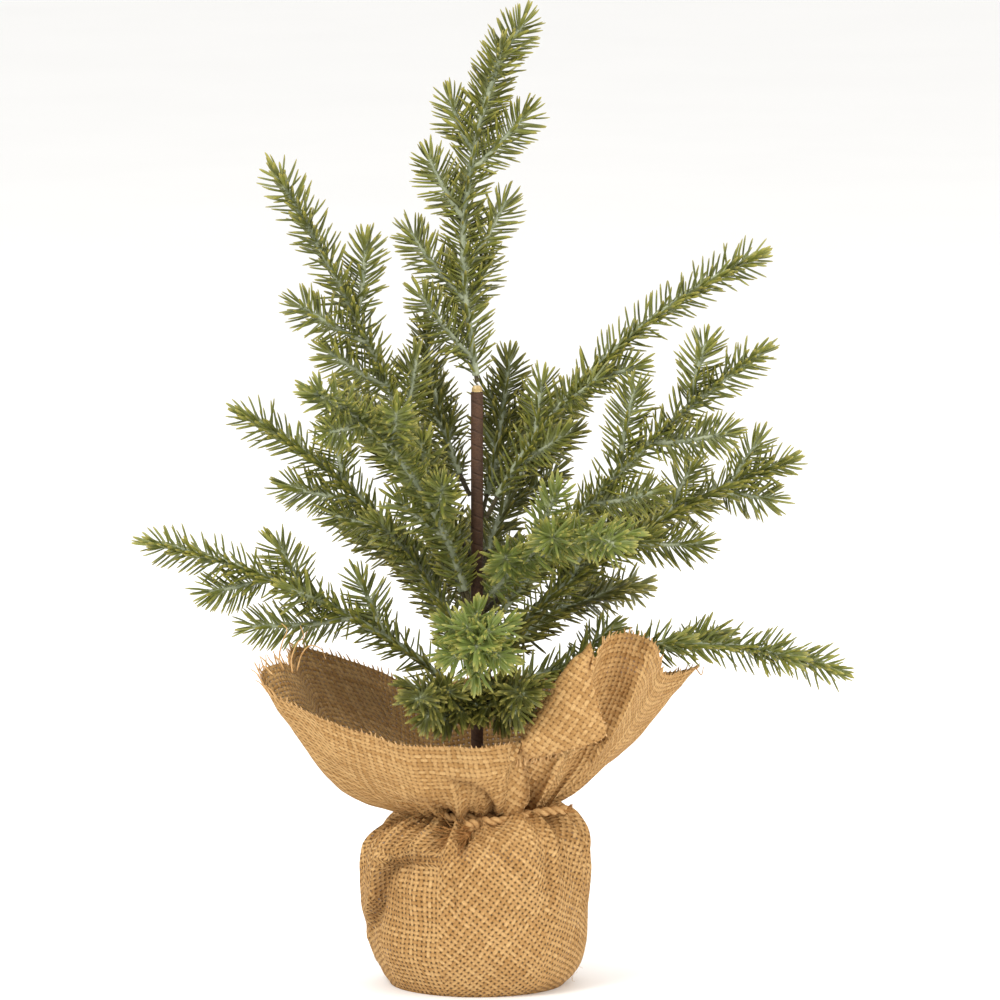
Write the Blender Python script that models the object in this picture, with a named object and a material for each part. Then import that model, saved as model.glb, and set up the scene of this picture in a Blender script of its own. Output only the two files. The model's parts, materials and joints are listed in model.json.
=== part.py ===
"""Artificial tabletop tree: moulded sprays on bendable wires round a taped trunk, standing in
a cement-filled pot that is wrapped in burlap and tied at the neck with jute twine.

Metres, +Z up. The origin is the centre of the burlap's flat underside, +X is the tree's right
and +Y its back. An azimuth is measured in degrees from +X, anticlockwise seen from above.
"""

from math import cos, degrees, radians, sin

import bmesh
import bpy
from mathutils import Vector
from mathutils.geometry import interpolate_bezier

# Fits
CLEARANCE = 0.0003  # between pieces that touch
JOINT_GAP = 0.0003  # between a turning wire end and the trunk tape
TURN_STEPS = 32  # sides of a turned piece

# Pot and the weight cast in it
POT_RADIUS = 0.0440  # outside, at the rim
POT_FOOT_RADIUS = 0.0375
POT_HEIGHT = 0.0600
POT_WALL = 0.0012
WEIGHT_FREEBOARD = 0.0060  # from the top of the weight to the pot's rim

# Burlap: a square of cloth gathered round the pot
CLOTH_THICKNESS = 0.0014
BAG_SLACK = 0.0070  # from the pot's side to the outside of the belly
FOOT_SLACK = 0.0025  # from the pot's foot to the edge of the bag's flat underside
NECK_RISE = 0.0150  # from the pot's rim to the lower end of the tied neck
NECK_RADIUS = 0.0225
NECK_LENGTH = 0.0065
SKIRT_RINGS = 5
SKIRT_SPREAD = 0.85  # below 1 the skirt opens early, above 1 late
SKIRT_LIFT = 1.70  # above 1 the skirt rises late
# Azimuth, radius, and height above the neck, of the skirt's wavy rim
RIM = (
    (-90, 0.056, 0.033),
    (-66, 0.058, 0.036),
    (-50, 0.068, 0.074),
    (-32, 0.082, 0.078),
    (-20, 0.086, 0.074),
    (-2, 0.084, 0.057),
    (15, 0.105, 0.059),
    (38, 0.080, 0.052),
    (90, 0.060, 0.048),
    (130, 0.070, 0.055),
    (160, 0.091, 0.067),
    (180, 0.083, 0.062),
    (195, 0.100, 0.065),
    (210, 0.084, 0.052),
    (236, 0.062, 0.036),
)

# Jute twine
TWINE_RADIUS = 0.0020
KNOT_AZIMUTH = -97
KNOT_SIZE = (0.0055, 0.0040, 0.0036)  # half width, depth and height
BAND_STEPS = 40
TAIL_STEPS = 4  # points between two of the tail's own points
# The free end of the twine, from the knot's side: across, towards the back, up
TAIL_ROUTE = (
    (0.0000, 0.0000, 0.0000),
    (0.0060, -0.0012, 0.0001),
    (0.0130, 0.0010, 0.0008),
    (0.0210, 0.0052, 0.0020),
    (0.0290, 0.0088, 0.0030),
    (0.0380, 0.0118, 0.0034),
)

# Trunk
ROD_RADIUS = 0.0015
ROD_BURIED = 0.0420  # length of rod inside the weight
TAPE_RADIUS = 0.0028
TRUNK_RISE = 0.1900  # from the tied neck to the top of the trunk
GLUE_RADIUS = 0.0024
GLUE_HEIGHT = 0.0030

# Branch wires and moulded sprays
WIRE_RADIUS = 0.0011
WIRE_BARE = 0.0160  # wire showing between trunk and spray
WIRE_STEPS = 5
SOCKET_DEPTH = 0.0120
LEADER_BARE = 0.0060
BRUSH_RADIUS = 0.0042
BRUSH_ROOT = 0.0026
BRUSH_PITCH = 0.0190  # from one whorl of needles to the next
BRUSH_VALLEY = 0.74  # radius between two whorls, as a share of the whorl's
BRUSH_TIP = 0.45  # radius at the tip, as a share of the brush's
TWIG_RADIUS = 0.0033
TWIG_ROOT = 0.0018
TWIG_SPLAY = 40  # degrees between a twig and its branch

# Name, azimuth, height of the root above the neck, length, elevation at the root and at the tip,
# and the twigs: share of the length where each one leaves, its direction round the branch (0 is
# the upper side, 90 the right-hand side looking outward), and its length.
BRANCHES = (
    ("upper_left", 200, 0.088, 0.226, 74, 58,
     ((0.42, 0, 0.030), (0.50, 180, 0.034), (0.60, 180, 0.038), (0.66, 0, 0.034))),
    ("left_front", 234, 0.090, 0.178, 67, 20,
     ((0.50, 60, 0.028), (0.62, -70, 0.030), (0.76, 180, 0.026))),
    ("left", 174, 0.068, 0.160, 67, 27,
     ((0.45, 180, 0.026), (0.57, 180, 0.034), (0.64, 10, 0.026))),
    ("low_left", 183, 0.048, 0.172, 42, 12,
     ((0.30, 10, 0.028), (0.40, 180, 0.046), (0.55, 0, 0.026), (0.66, 180, 0.028))),
    ("upper_right", 5, 0.132, 0.182, 63, 25,
     ((0.25, -40, 0.026), (0.45, 150, 0.024))),
    ("right_mid", -20, 0.078, 0.197, 56, 36,
     ((0.54, 0, 0.038), (0.64, 160, 0.042), (0.78, 0, 0.030))),
    ("right", 14, 0.066, 0.174, 46, 17,
     ((0.50, 160, 0.034), (0.80, 180, 0.026), (0.84, 0, 0.022))),
    ("right_front", -58, 0.090, 0.137, 48, -6,
     ((0.45, 0, 0.034), (0.60, 90, 0.028), (0.72, -90, 0.026))),
    ("front", -90, 0.070, 0.125, 18, 8,
     ((0.55, 60, 0.026), (0.60, -60, 0.026), (0.64, 180, 0.026), (0.68, 0, 0.024))),
    ("low_right", 10, 0.047, 0.174, 29, -22,
     ((0.40, 80, 0.028), (0.55, -80, 0.028), (0.72, 90, 0.026))),
    ("right_back", 52, 0.057, 0.124, 34, -6,
     ((0.50, 80, 0.028), (0.65, -80, 0.026))),
    ("right_shade", 34, 0.089, 0.130, 34, 2,
     ((0.55, 80, 0.026), (0.65, -80, 0.026))),
    ("left_inner", 140, 0.142, 0.080, 55, 86,
     ((0.50, 110, 0.016), (0.60, -130, 0.018))),
    ("right_inner", 62, 0.132, 0.075, 58, 80,
     ((0.50, 130, 0.018), (0.62, -60, 0.014))),
    ("back_high_right", 66, 0.107, 0.130, 48, 18,
     ((0.50, 80, 0.028), (0.65, -80, 0.026))),
    ("back", 90, 0.067, 0.130, 35, 5,
     ((0.50, 80, 0.030), (0.65, -80, 0.028))),
    ("back_left", 122, 0.060, 0.122, 50, 8,
     ((0.45, 80, 0.028), (0.60, -80, 0.028))),
    ("back_high_left", 128, 0.112, 0.118, 50, 25,
     ((0.50, 80, 0.026), (0.65, -80, 0.026))),
    ("low_front_left", 250, 0.046, 0.078, 22, -2,
     ((0.50, 80, 0.020), (0.60, -80, 0.020))),
    ("low_front_right", -73, 0.049, 0.070, 20, 0,
     ((0.50, 80, 0.018), (0.60, -80, 0.018))),
)

# The leader above the trunk: its stem from its own root, and its twigs, whose direction round
# the stem is 0 to the right, 90 to the back and 180 to the left.
LEADER_ROUTE = (
    (0.000, 0.0, 0.000),
    (-0.005, 0.0, 0.038),
    (-0.006, 0.0, 0.073),
    (0.000, 0.0, 0.113),
    (0.010, 0.0, 0.148),
    (0.022, 0.0, 0.169),
)
LEADER_STEPS = 3
LEADER_TWIGS = (
    (0.06, 215, 0.042),
    (0.14, 100, 0.034),
    (0.20, 35, 0.024),
    (0.22, 172, 0.040),
    (0.30, 12, 0.037),
    (0.37, 90, 0.030),
    (0.44, 195, 0.033),
    (0.57, -8, 0.037),
    (0.62, 172, 0.026),
    (0.70, 85, 0.022),
    (0.82, 262, 0.020),
)

# Heights that follow from the sizes above
BAG_INSIDE_FLOOR = CLOTH_THICKNESS + CLEARANCE
POT_RIM = BAG_INSIDE_FLOOR + POT_HEIGHT
WEIGHT_TOP = POT_RIM - WEIGHT_FREEBOARD
NECK_LOW = POT_RIM + NECK_RISE
NECK_HIGH = NECK_LOW + NECK_LENGTH
NECK_MIDDLE = (NECK_LOW + NECK_HIGH) / 2
TRUNK_TOP = NECK_HIGH + TRUNK_RISE
TWINE_REACH = NECK_RADIUS + CLEARANCE + TWINE_RADIUS
ROOT_RADIUS = TAPE_RADIUS + JOINT_GAP + WIRE_RADIUS
GLUE_BASE = TRUNK_TOP + CLEARANCE
LEADER_ROOT = GLUE_BASE + GLUE_HEIGHT + JOINT_GAP + WIRE_RADIUS


def ring_point(azimuth, radius, height):
    """A point on a circle round the vertical axis."""
    return Vector((radius * cos(radians(azimuth)), radius * sin(radians(azimuth)), height))


def clear_scene():
    for leftover in list(bpy.data.objects):
        bpy.data.objects.remove(leftover, do_unlink=True)


def make_material(name, colour, roughness, metallic=0.0):
    material = bpy.data.materials.new(name)
    material.use_nodes = True
    shader = material.node_tree.nodes["Principled BSDF"]
    shader.inputs["Base Color"].default_value = (*colour, 1.0)
    shader.inputs["Roughness"].default_value = roughness
    shader.inputs["Metallic"].default_value = metallic
    return material


def place(name, data, material, parent=None, location=(0, 0, 0)):
    """Put a mesh or a curve in the scene as a named piece."""
    piece = bpy.data.objects.new(name, data)
    piece.location = location
    piece.parent = parent
    data.materials.clear()
    data.materials.append(material)
    bpy.context.scene.collection.objects.link(piece)
    return piece


def smooth(mesh):
    mesh.shade_smooth()
    mesh.set_sharp_from_angle(angle=radians(40))


def spun_surface(profile):
    """Turn a profile of (radius, height) points once round the vertical axis."""
    work = bmesh.new()
    points = [work.verts.new((radius, 0, height)) for radius, height in profile]
    edges = [work.edges.new(pair) for pair in zip(points, points[1:])]
    bmesh.ops.spin(
        work, geom=points + edges, cent=(0, 0, 0), axis=(0, 0, 1),
        angle=radians(360), steps=TURN_STEPS, use_merge=True,
    )
    bmesh.ops.remove_doubles(work, verts=work.verts, dist=1e-6)
    bmesh.ops.recalc_face_normals(work, faces=work.faces)
    return work


def turned(name, profile, material, location=(0, 0, 0)):
    """A solid of revolution. Its profile starts and ends on the axis, or closes on itself."""
    work = spun_surface(profile)
    mesh = bpy.data.meshes.new(name)
    work.to_mesh(mesh)
    work.free()
    smooth(mesh)
    return place(name, mesh, material, location=location)


def rounded_path(points, steps):
    """A smooth curve through the points, with a few points between each two."""
    points = [Vector(point) for point in points]
    before = [points[0] * 2 - points[1]] + points[:-1]
    after = points[1:] + [points[-1] * 2 - points[-2]]
    slopes = [(b - a) / 6 for a, b in zip(before, after)]
    path = []
    for n in range(len(points) - 1):
        stretch = interpolate_bezier(
            points[n], points[n] + slopes[n],
            points[n + 1] - slopes[n + 1], points[n + 1], steps + 1,
        )
        path += stretch[:-1]
    return path + [points[-1]]


def tube_curve(name, path, radii, resolution):
    """A round bar along a path, with a radius at each point and filled ends."""
    curve = bpy.data.curves.new(name, "CURVE")
    curve.dimensions = "3D"
    curve.bevel_depth = 1.0
    curve.bevel_resolution = resolution
    curve.use_fill_caps = True
    spline = curve.splines.new("POLY")
    spline.points.add(len(path) - 1)
    for point, place_, radius in zip(spline.points, path, radii):
        point.co = (*place_, 1.0)
        point.radius = radius
    spline.use_smooth = True
    return curve


def tube_mesh(path, radii, resolution):
    """The same bar as a closed mesh, for joining to others."""
    holder = bpy.data.objects.new("bar", tube_curve("bar", path, radii, resolution))
    bpy.context.scene.collection.objects.link(holder)
    graph = bpy.context.evaluated_depsgraph_get()
    mesh = bpy.data.meshes.new_from_object(holder.evaluated_get(graph))
    bpy.data.objects.remove(holder)
    work = bmesh.new()
    work.from_mesh(mesh)
    bmesh.ops.remove_doubles(work, verts=work.verts, dist=1e-6)
    bmesh.ops.recalc_face_normals(work, faces=work.faces)
    work.to_mesh(mesh)
    work.free()
    return mesh


def combined(name, base, additions, cuts):
    """Join meshes to a base mesh, then cut others out of it."""
    scene = bpy.context.scene.collection
    body = bpy.data.objects.new(name, base)
    scene.objects.link(body)
    tools = []
    for operation, meshes in (("UNION", additions), ("DIFFERENCE", cuts)):
        for mesh in meshes:
            tool = bpy.data.objects.new("tool", mesh)
            scene.objects.link(tool)
            tools.append(tool)
            step = body.modifiers.new(operation, "BOOLEAN")
            step.operation = operation
            step.solver = "EXACT"
            step.object = tool
    graph = bpy.context.evaluated_depsgraph_get()
    result = bpy.data.meshes.new_from_object(body.evaluated_get(graph))
    for piece in tools + [body]:
        bpy.data.objects.remove(piece)
    result.name = name
    smooth(result)
    return result


def brush_radius(share, full, root):
    """A spray's radius along it: slim at the root, full from a quarter, drawn in at the tip."""
    swelling = min(1.0, share / 0.25)
    radius = root + (full - root) * swelling
    narrowing = max(0.0, (share - 0.8) / 0.2)
    return radius * (1 - (1 - BRUSH_TIP) * narrowing)


def brush(point_at, start, length, full, root):
    """A ribbed envelope round the needles between two distances along a stem."""
    whorls = max(2, round((length - start) / BRUSH_PITCH))
    path = []
    radii = []
    for n in range(2 * whorls + 1):
        share = n / (2 * whorls)
        radius = brush_radius(share, full, root)
        if n % 2 == 1:
            radius *= BRUSH_VALLEY
        path.append(point_at(start + (length - start) * share))
        radii.append(radius)
    return tube_mesh(path, radii, 1)


def twig_brush(foot, along, reference, turn, length):
    """A side twig that leaves its stem at a fixed angle, turned round the stem."""
    side = along.cross(reference).normalized()
    upper = side.cross(along)
    outward = upper * cos(radians(turn)) + side * sin(radians(turn))
    direction = along * cos(radians(TWIG_SPLAY)) + outward * sin(radians(TWIG_SPLAY))
    return brush(lambda s: foot + direction * s, 0.0, length, TWIG_RADIUS, TWIG_ROOT)


def arc_stem(length, low, high):
    """A stem in the XZ plane whose elevation changes evenly from root to tip."""
    bend = radians(high - low) / length

    def point_at(s):
        angle = radians(low) + bend * s
        across = (sin(angle) - sin(radians(low))) / bend
        up = (cos(radians(low)) - cos(angle)) / bend
        return Vector((across, 0, up))

    return point_at


def route_stem(points, steps):
    """A stem along a smooth route, measured by its length."""
    path = rounded_path(points, steps)
    reach = [0.0]
    for a, b in zip(path, path[1:]):
        reach.append(reach[-1] + (b - a).length)

    def point_at(s):
        for n in range(1, len(path) - 1):
            if s < reach[n]:
                break
        else:
            n = len(path) - 1
        share = (s - reach[n - 1]) / (reach[n] - reach[n - 1])
        return path[n - 1].lerp(path[n], share)

    return point_at, reach[-1]


def limb(name, pivot, point_at, length, bare, reference, twigs, materials):
    """A bendable wire and the moulded spray that is pushed on it."""
    socket_end = bare + SOCKET_DEPTH
    wire_end = socket_end - CLEARANCE
    wire_path = [point_at(wire_end * n / WIRE_STEPS) for n in range(WIRE_STEPS + 1)]
    wire = tube_curve(f"{name}_wire", wire_path, [WIRE_RADIUS] * len(wire_path), 1)
    place(f"{name}_wire", wire, materials["wire"], parent=pivot)

    stem = brush(point_at, bare, length, BRUSH_RADIUS, BRUSH_ROOT)
    step = length * 0.01
    side_twigs = []
    for at, turn, twig_length in twigs:
        foot = point_at(length * at)
        along = (point_at(length * at + step) - foot).normalized()
        side_twigs.append(twig_brush(foot, along, Vector(reference), turn, twig_length))
    bore_start = bare - 4 * CLEARANCE
    bore_path = [
        point_at(bore_start + (socket_end - bore_start) * n / WIRE_STEPS)
        for n in range(WIRE_STEPS + 1)
    ]
    bore = tube_mesh(bore_path, [WIRE_RADIUS + CLEARANCE] * len(bore_path), 2)
    spray = combined(f"{name}_spray", stem, side_twigs, [bore])
    place(f"{name}_spray", spray, materials["needles"], parent=pivot)


def pivot_at(name, location, azimuth):
    """An empty on a branch's hinge: its X points outward and its Y lies along the axis."""
    pivot = bpy.data.objects.new(name, None)
    pivot.empty_display_size = 0.01
    pivot.location = location
    pivot.rotation_euler = (0, 0, radians(azimuth))
    bpy.context.scene.collection.objects.link(pivot)
    return pivot


def make_branches(materials):
    for name, azimuth, height, length, low, high, twigs in BRANCHES:
        root = ring_point(azimuth, ROOT_RADIUS, NECK_HIGH + height)
        pivot = pivot_at(f"{name}_pivot", root, azimuth)
        stem = arc_stem(length, low, high)
        limb(name, pivot, stem, length, WIRE_BARE, (0, 0, 1), twigs, materials)


def make_leader(materials):
    pivot = pivot_at("leader_pivot", (0, 0, LEADER_ROOT), 0)
    stem, length = route_stem(LEADER_ROUTE, LEADER_STEPS)
    limb("leader", pivot, stem, length, LEADER_BARE, (1, 0, 0), LEADER_TWIGS, materials)


def make_base(materials):
    """The pot, its cement filling, and the trunk that stands in it."""
    turned("pot", (
        (0, 0),
        (POT_FOOT_RADIUS, 0),
        (POT_RADIUS, POT_HEIGHT),
        (POT_RADIUS - POT_WALL, POT_HEIGHT),
        (POT_FOOT_RADIUS - POT_WALL, POT_WALL),
        (0, POT_WALL),
    ), materials["pot"], location=(0, 0, BAG_INSIDE_FLOOR))

    floor = BAG_INSIDE_FLOOR + POT_WALL + CLEARANCE
    inset = POT_WALL + 2 * CLEARANCE
    taper = (POT_RADIUS - POT_FOOT_RADIUS) / POT_HEIGHT
    top_radius = POT_RADIUS - inset - taper * WEIGHT_FREEBOARD
    hole = ROD_RADIUS + CLEARANCE
    hole_floor = WEIGHT_TOP - ROD_BURIED - CLEARANCE
    turned("base_weight", (
        (0, floor),
        (POT_FOOT_RADIUS - inset, floor),
        (top_radius, WEIGHT_TOP),
        (hole, WEIGHT_TOP),
        (hole, hole_floor),
        (0, hole_floor),
    ), materials["cement"])

    rod_foot = WEIGHT_TOP - ROD_BURIED
    turned("trunk_rod", (
        (0, rod_foot),
        (ROD_RADIUS, rod_foot),
        (ROD_RADIUS, TRUNK_TOP),
        (0, TRUNK_TOP),
    ), materials["steel"])

    tape_foot = WEIGHT_TOP + CLEARANCE
    inner = ROD_RADIUS + CLEARANCE
    turned("trunk_tape", (
        (inner, tape_foot),
        (TAPE_RADIUS, tape_foot),
        (TAPE_RADIUS, TRUNK_TOP),
        (inner, TRUNK_TOP),
        (inner, tape_foot),
    ), materials["tape"])

    turned("tip_glue", (
        (0, GLUE_BASE),
        (GLUE_RADIUS, GLUE_BASE),
        (GLUE_RADIUS, GLUE_BASE + GLUE_HEIGHT * 0.5),
        (GLUE_RADIUS * 0.7, GLUE_BASE + GLUE_HEIGHT * 0.9),
        (0, GLUE_BASE + GLUE_HEIGHT),
    ), materials["glue"])


def rim_at(azimuth):
    """Radius and height of the skirt's rim, eased between the places listed in RIM."""
    places = list(RIM) + [(RIM[0][0] + 360, *RIM[0][1:])]
    azimuth = (azimuth - RIM[0][0]) % 360 + RIM[0][0]
    for (a, radius_a, height_a), (b, radius_b, height_b) in zip(places, places[1:]):
        if azimuth <= b:
            ease = (1 - cos(radians(180 * (azimuth - a) / (b - a)))) / 2
            return radius_a + (radius_b - radius_a) * ease, height_a + (height_b - height_a) * ease
    return RIM[0][1:]


def make_burlap(materials):
    """One cloth shell: a bag round the pot, a tied neck, and a flared skirt with four corners."""
    belly = POT_RADIUS + BAG_SLACK
    shoulder = NECK_LOW - POT_RIM
    bag = [
        (0, 0),
        (POT_FOOT_RADIUS + FOOT_SLACK, 0),
        (belly * 0.90, POT_RIM * 0.10),
        (belly * 0.98, POT_RIM * 0.30),
        (belly, POT_RIM * 0.60),
        (belly * 0.98, POT_RIM * 0.88),
        (belly * 0.90, POT_RIM + shoulder * 0.35),
        (belly * 0.70, POT_RIM + shoulder * 0.80),
        (NECK_RADIUS, NECK_LOW),
        (NECK_RADIUS, NECK_HIGH),
    ]
    skirt = [(NECK_RADIUS, NECK_HIGH + ring / SKIRT_RINGS) for ring in range(1, SKIRT_RINGS + 1)]
    work = spun_surface(bag + skirt)
    for vert in work.verts:
        share = vert.co.z - NECK_HIGH
        if share < 1e-6:
            continue
        outward = Vector((vert.co.x, vert.co.y, 0)).normalized()
        azimuth = -degrees(Vector((1, 0)).angle_signed(outward.xy))
        rim_radius, rim_height = rim_at(azimuth)
        radius = NECK_RADIUS + (rim_radius - NECK_RADIUS) * share**SKIRT_SPREAD
        vert.co = outward * radius
        vert.co.z = NECK_HIGH + rim_height * share**SKIRT_LIFT
    mesh = bpy.data.meshes.new("burlap_wrap")
    work.to_mesh(mesh)
    work.free()
    smooth(mesh)
    cloth = place("burlap_wrap", mesh, materials["burlap"])
    wall = cloth.modifiers.new("cloth thickness", "SOLIDIFY")
    wall.thickness = CLOTH_THICKNESS
    wall.offset = -1.0
    wall.use_even_offset = True


def make_twine(materials):
    """The band round the neck, the knot in front of it, and the free end."""
    half_width, half_depth, half_height = KNOT_SIZE
    knot_reach = NECK_RADIUS + CLEARANCE + half_depth
    work = bmesh.new()
    bmesh.ops.create_icosphere(work, subdivisions=2, radius=1.0)
    bmesh.ops.scale(work, vec=KNOT_SIZE, verts=work.verts)
    mesh = bpy.data.meshes.new("twine_knot")
    work.to_mesh(mesh)
    work.free()
    smooth(mesh)
    knot_centre = ring_point(KNOT_AZIMUTH, knot_reach, NECK_MIDDLE)
    knot = place("twine_knot", mesh, materials["twine"], location=knot_centre)
    knot.rotation_euler.z = radians(KNOT_AZIMUTH + 90)

    gap = degrees((half_width + TWINE_RADIUS + CLEARANCE) / TWINE_REACH)
    turn = (360 - 2 * gap) / BAND_STEPS
    band_path = [
        ring_point(KNOT_AZIMUTH + gap + turn * n, TWINE_REACH, NECK_MIDDLE)
        for n in range(BAND_STEPS + 1)
    ]
    band = tube_curve("twine_band", band_path, [TWINE_RADIUS] * len(band_path), 1)
    place("twine_band", band, materials["twine"])

    start = knot_centre + Vector((half_width + 2 * CLEARANCE, -half_depth, 0))
    tail_path = [start + Vector(point) for point in rounded_path(TAIL_ROUTE, TAIL_STEPS)]
    tail = tube_curve("twine_tail", tail_path, [TWINE_RADIUS] * len(tail_path), 2)
    place("twine_tail", tail, materials["twine"])


def main():
    clear_scene()
    materials = {
        "pot": make_material("black_plastic", (0.018, 0.017, 0.016), 0.5),
        "cement": make_material("cement", (0.42, 0.40, 0.37), 0.9),
        "steel": make_material("steel", (0.45, 0.45, 0.46), 0.35, 1.0),
        "tape": make_material("brown_tape", (0.10, 0.040, 0.016), 0.75),
        "glue": make_material("hot_glue", (0.72, 0.66, 0.45), 0.35),
        "wire": make_material("taped_wire", (0.12, 0.060, 0.028), 0.7),
        "needles": make_material("green_needles", (0.093, 0.138, 0.035), 0.55),
        "burlap": make_material("burlap", (0.48, 0.27, 0.10), 0.95),
        "twine": make_material("jute_twine", (0.43, 0.24, 0.09), 0.9),
    }
    make_base(materials)
    make_burlap(materials)
    make_twine(materials)
    make_branches(materials)
    make_leader(materials)


main()
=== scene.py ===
# %% [markdown]
# # A small artificial tree in a burlap wrap
#
# This lesson dresses a fixed frame. The frame holds the tree's plain solids and its hinges, and
# every piece made here rides on one of its bodies, so that the tree still bends as it should.
# Read it top to bottom: each step says what the piece is on the real object, how it could be
# made, and why it is made this way.

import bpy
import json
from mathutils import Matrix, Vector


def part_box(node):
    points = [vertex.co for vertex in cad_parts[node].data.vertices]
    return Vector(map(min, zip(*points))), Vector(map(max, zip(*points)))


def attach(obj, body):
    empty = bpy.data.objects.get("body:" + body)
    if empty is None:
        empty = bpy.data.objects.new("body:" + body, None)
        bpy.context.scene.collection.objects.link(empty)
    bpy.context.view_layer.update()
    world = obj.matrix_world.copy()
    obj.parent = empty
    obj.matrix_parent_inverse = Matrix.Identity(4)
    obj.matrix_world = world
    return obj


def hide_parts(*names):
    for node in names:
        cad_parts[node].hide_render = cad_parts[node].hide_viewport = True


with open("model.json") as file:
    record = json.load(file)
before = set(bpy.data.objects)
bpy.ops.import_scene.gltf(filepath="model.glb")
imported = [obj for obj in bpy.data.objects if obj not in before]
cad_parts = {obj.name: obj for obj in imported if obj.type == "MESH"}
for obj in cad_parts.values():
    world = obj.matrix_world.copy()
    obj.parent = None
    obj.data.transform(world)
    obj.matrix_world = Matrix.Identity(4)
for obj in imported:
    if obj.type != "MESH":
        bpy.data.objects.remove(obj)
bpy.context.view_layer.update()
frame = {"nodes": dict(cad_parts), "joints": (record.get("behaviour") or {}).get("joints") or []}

# %% Tools that the whole lesson uses
import json
from math import cos, pi, radians, sin, sqrt
from random import Random

import bmesh
import bpy
import numpy as np
from mathutils import Matrix, Quaternion, Vector, noise
from mathutils.geometry import interpolate_bezier

scene = bpy.context.scene
joints = {joint["name"]: joint for joint in frame["joints"]}
print("joints:", len(joints))

# %% [markdown]
# ## Camera, light and table
#
# The tree is looked at from the front and a little above, through a long lens, which keeps the
# near and far branches in proportion. A short lens would swell the branch that points at us.
# The camera is placed first, because everything else is judged through it.

# %% Camera
VIEW_HEIGHT = 0.2235  # the height that the camera aims at
VIEW_SIDE = 0.0105
VIEW_DISTANCE = 5.0
VIEW_ELEVATION = radians(8)
VIEW_WIDTH = 0.457  # what the picture spans at the trunk
SENSOR = 36.0

aim = Vector((VIEW_SIDE, 0, VIEW_HEIGHT))
back_off = Vector((0, -cos(VIEW_ELEVATION), sin(VIEW_ELEVATION)))
camera = bpy.data.objects.new("camera", bpy.data.cameras.new("camera"))
camera.data.sensor_width = SENSOR
camera.data.lens = SENSOR * VIEW_DISTANCE / VIEW_WIDTH
camera.location = aim + back_off * VIEW_DISTANCE
camera.rotation_euler = (-back_off).to_track_quat("-Z", "Y").to_euler()
scene.collection.objects.link(camera)
scene.camera = camera
print("camera: lens", round(camera.data.lens, 1), "mm")

# %% [markdown]
# A studio product shot is lit by large soft boxes. Area lights give the same soft shadows, and
# the world adds an even fill, so that the undersides of the branches don't go black.

# %% Lights and world
LIGHTS = (  # name, place, size, watts
    ("key_light", (-1.1, -1.3, 1.8), 0.9, 36),
    ("fill_light", (1.5, -1.1, 0.9), 1.6, 20),
    ("top_light", (0.2, 0.5, 1.9), 1.4, 16),
)
for name, place, size, watts in LIGHTS:
    lamp = bpy.data.objects.new(name, bpy.data.lights.new(name, "AREA"))
    lamp.data.shape = "DISK"
    lamp.data.size = size
    lamp.data.energy = watts
    lamp.location = place
    lamp.rotation_euler = (aim - Vector(place)).to_track_quat("-Z", "Y").to_euler()
    scene.collection.objects.link(lamp)

world = bpy.data.worlds.new("studio")
world.use_nodes = True
world.node_tree.nodes["Background"].inputs["Color"].default_value = (1.0, 0.99, 0.97, 1)
world.node_tree.nodes["Background"].inputs["Strength"].default_value = 1.0
scene.world = world
scene.view_settings.view_transform = "Standard"
print("lights:", len(LIGHTS))

# %% [markdown]
# ## Node helpers
#
# Every finish here is procedural: it is worked out from a piece's own coordinates by a chain of
# nodes. Such a chain is long when it is written link by link, so a small class holds one
# material and adds a node and its links in one line.

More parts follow.
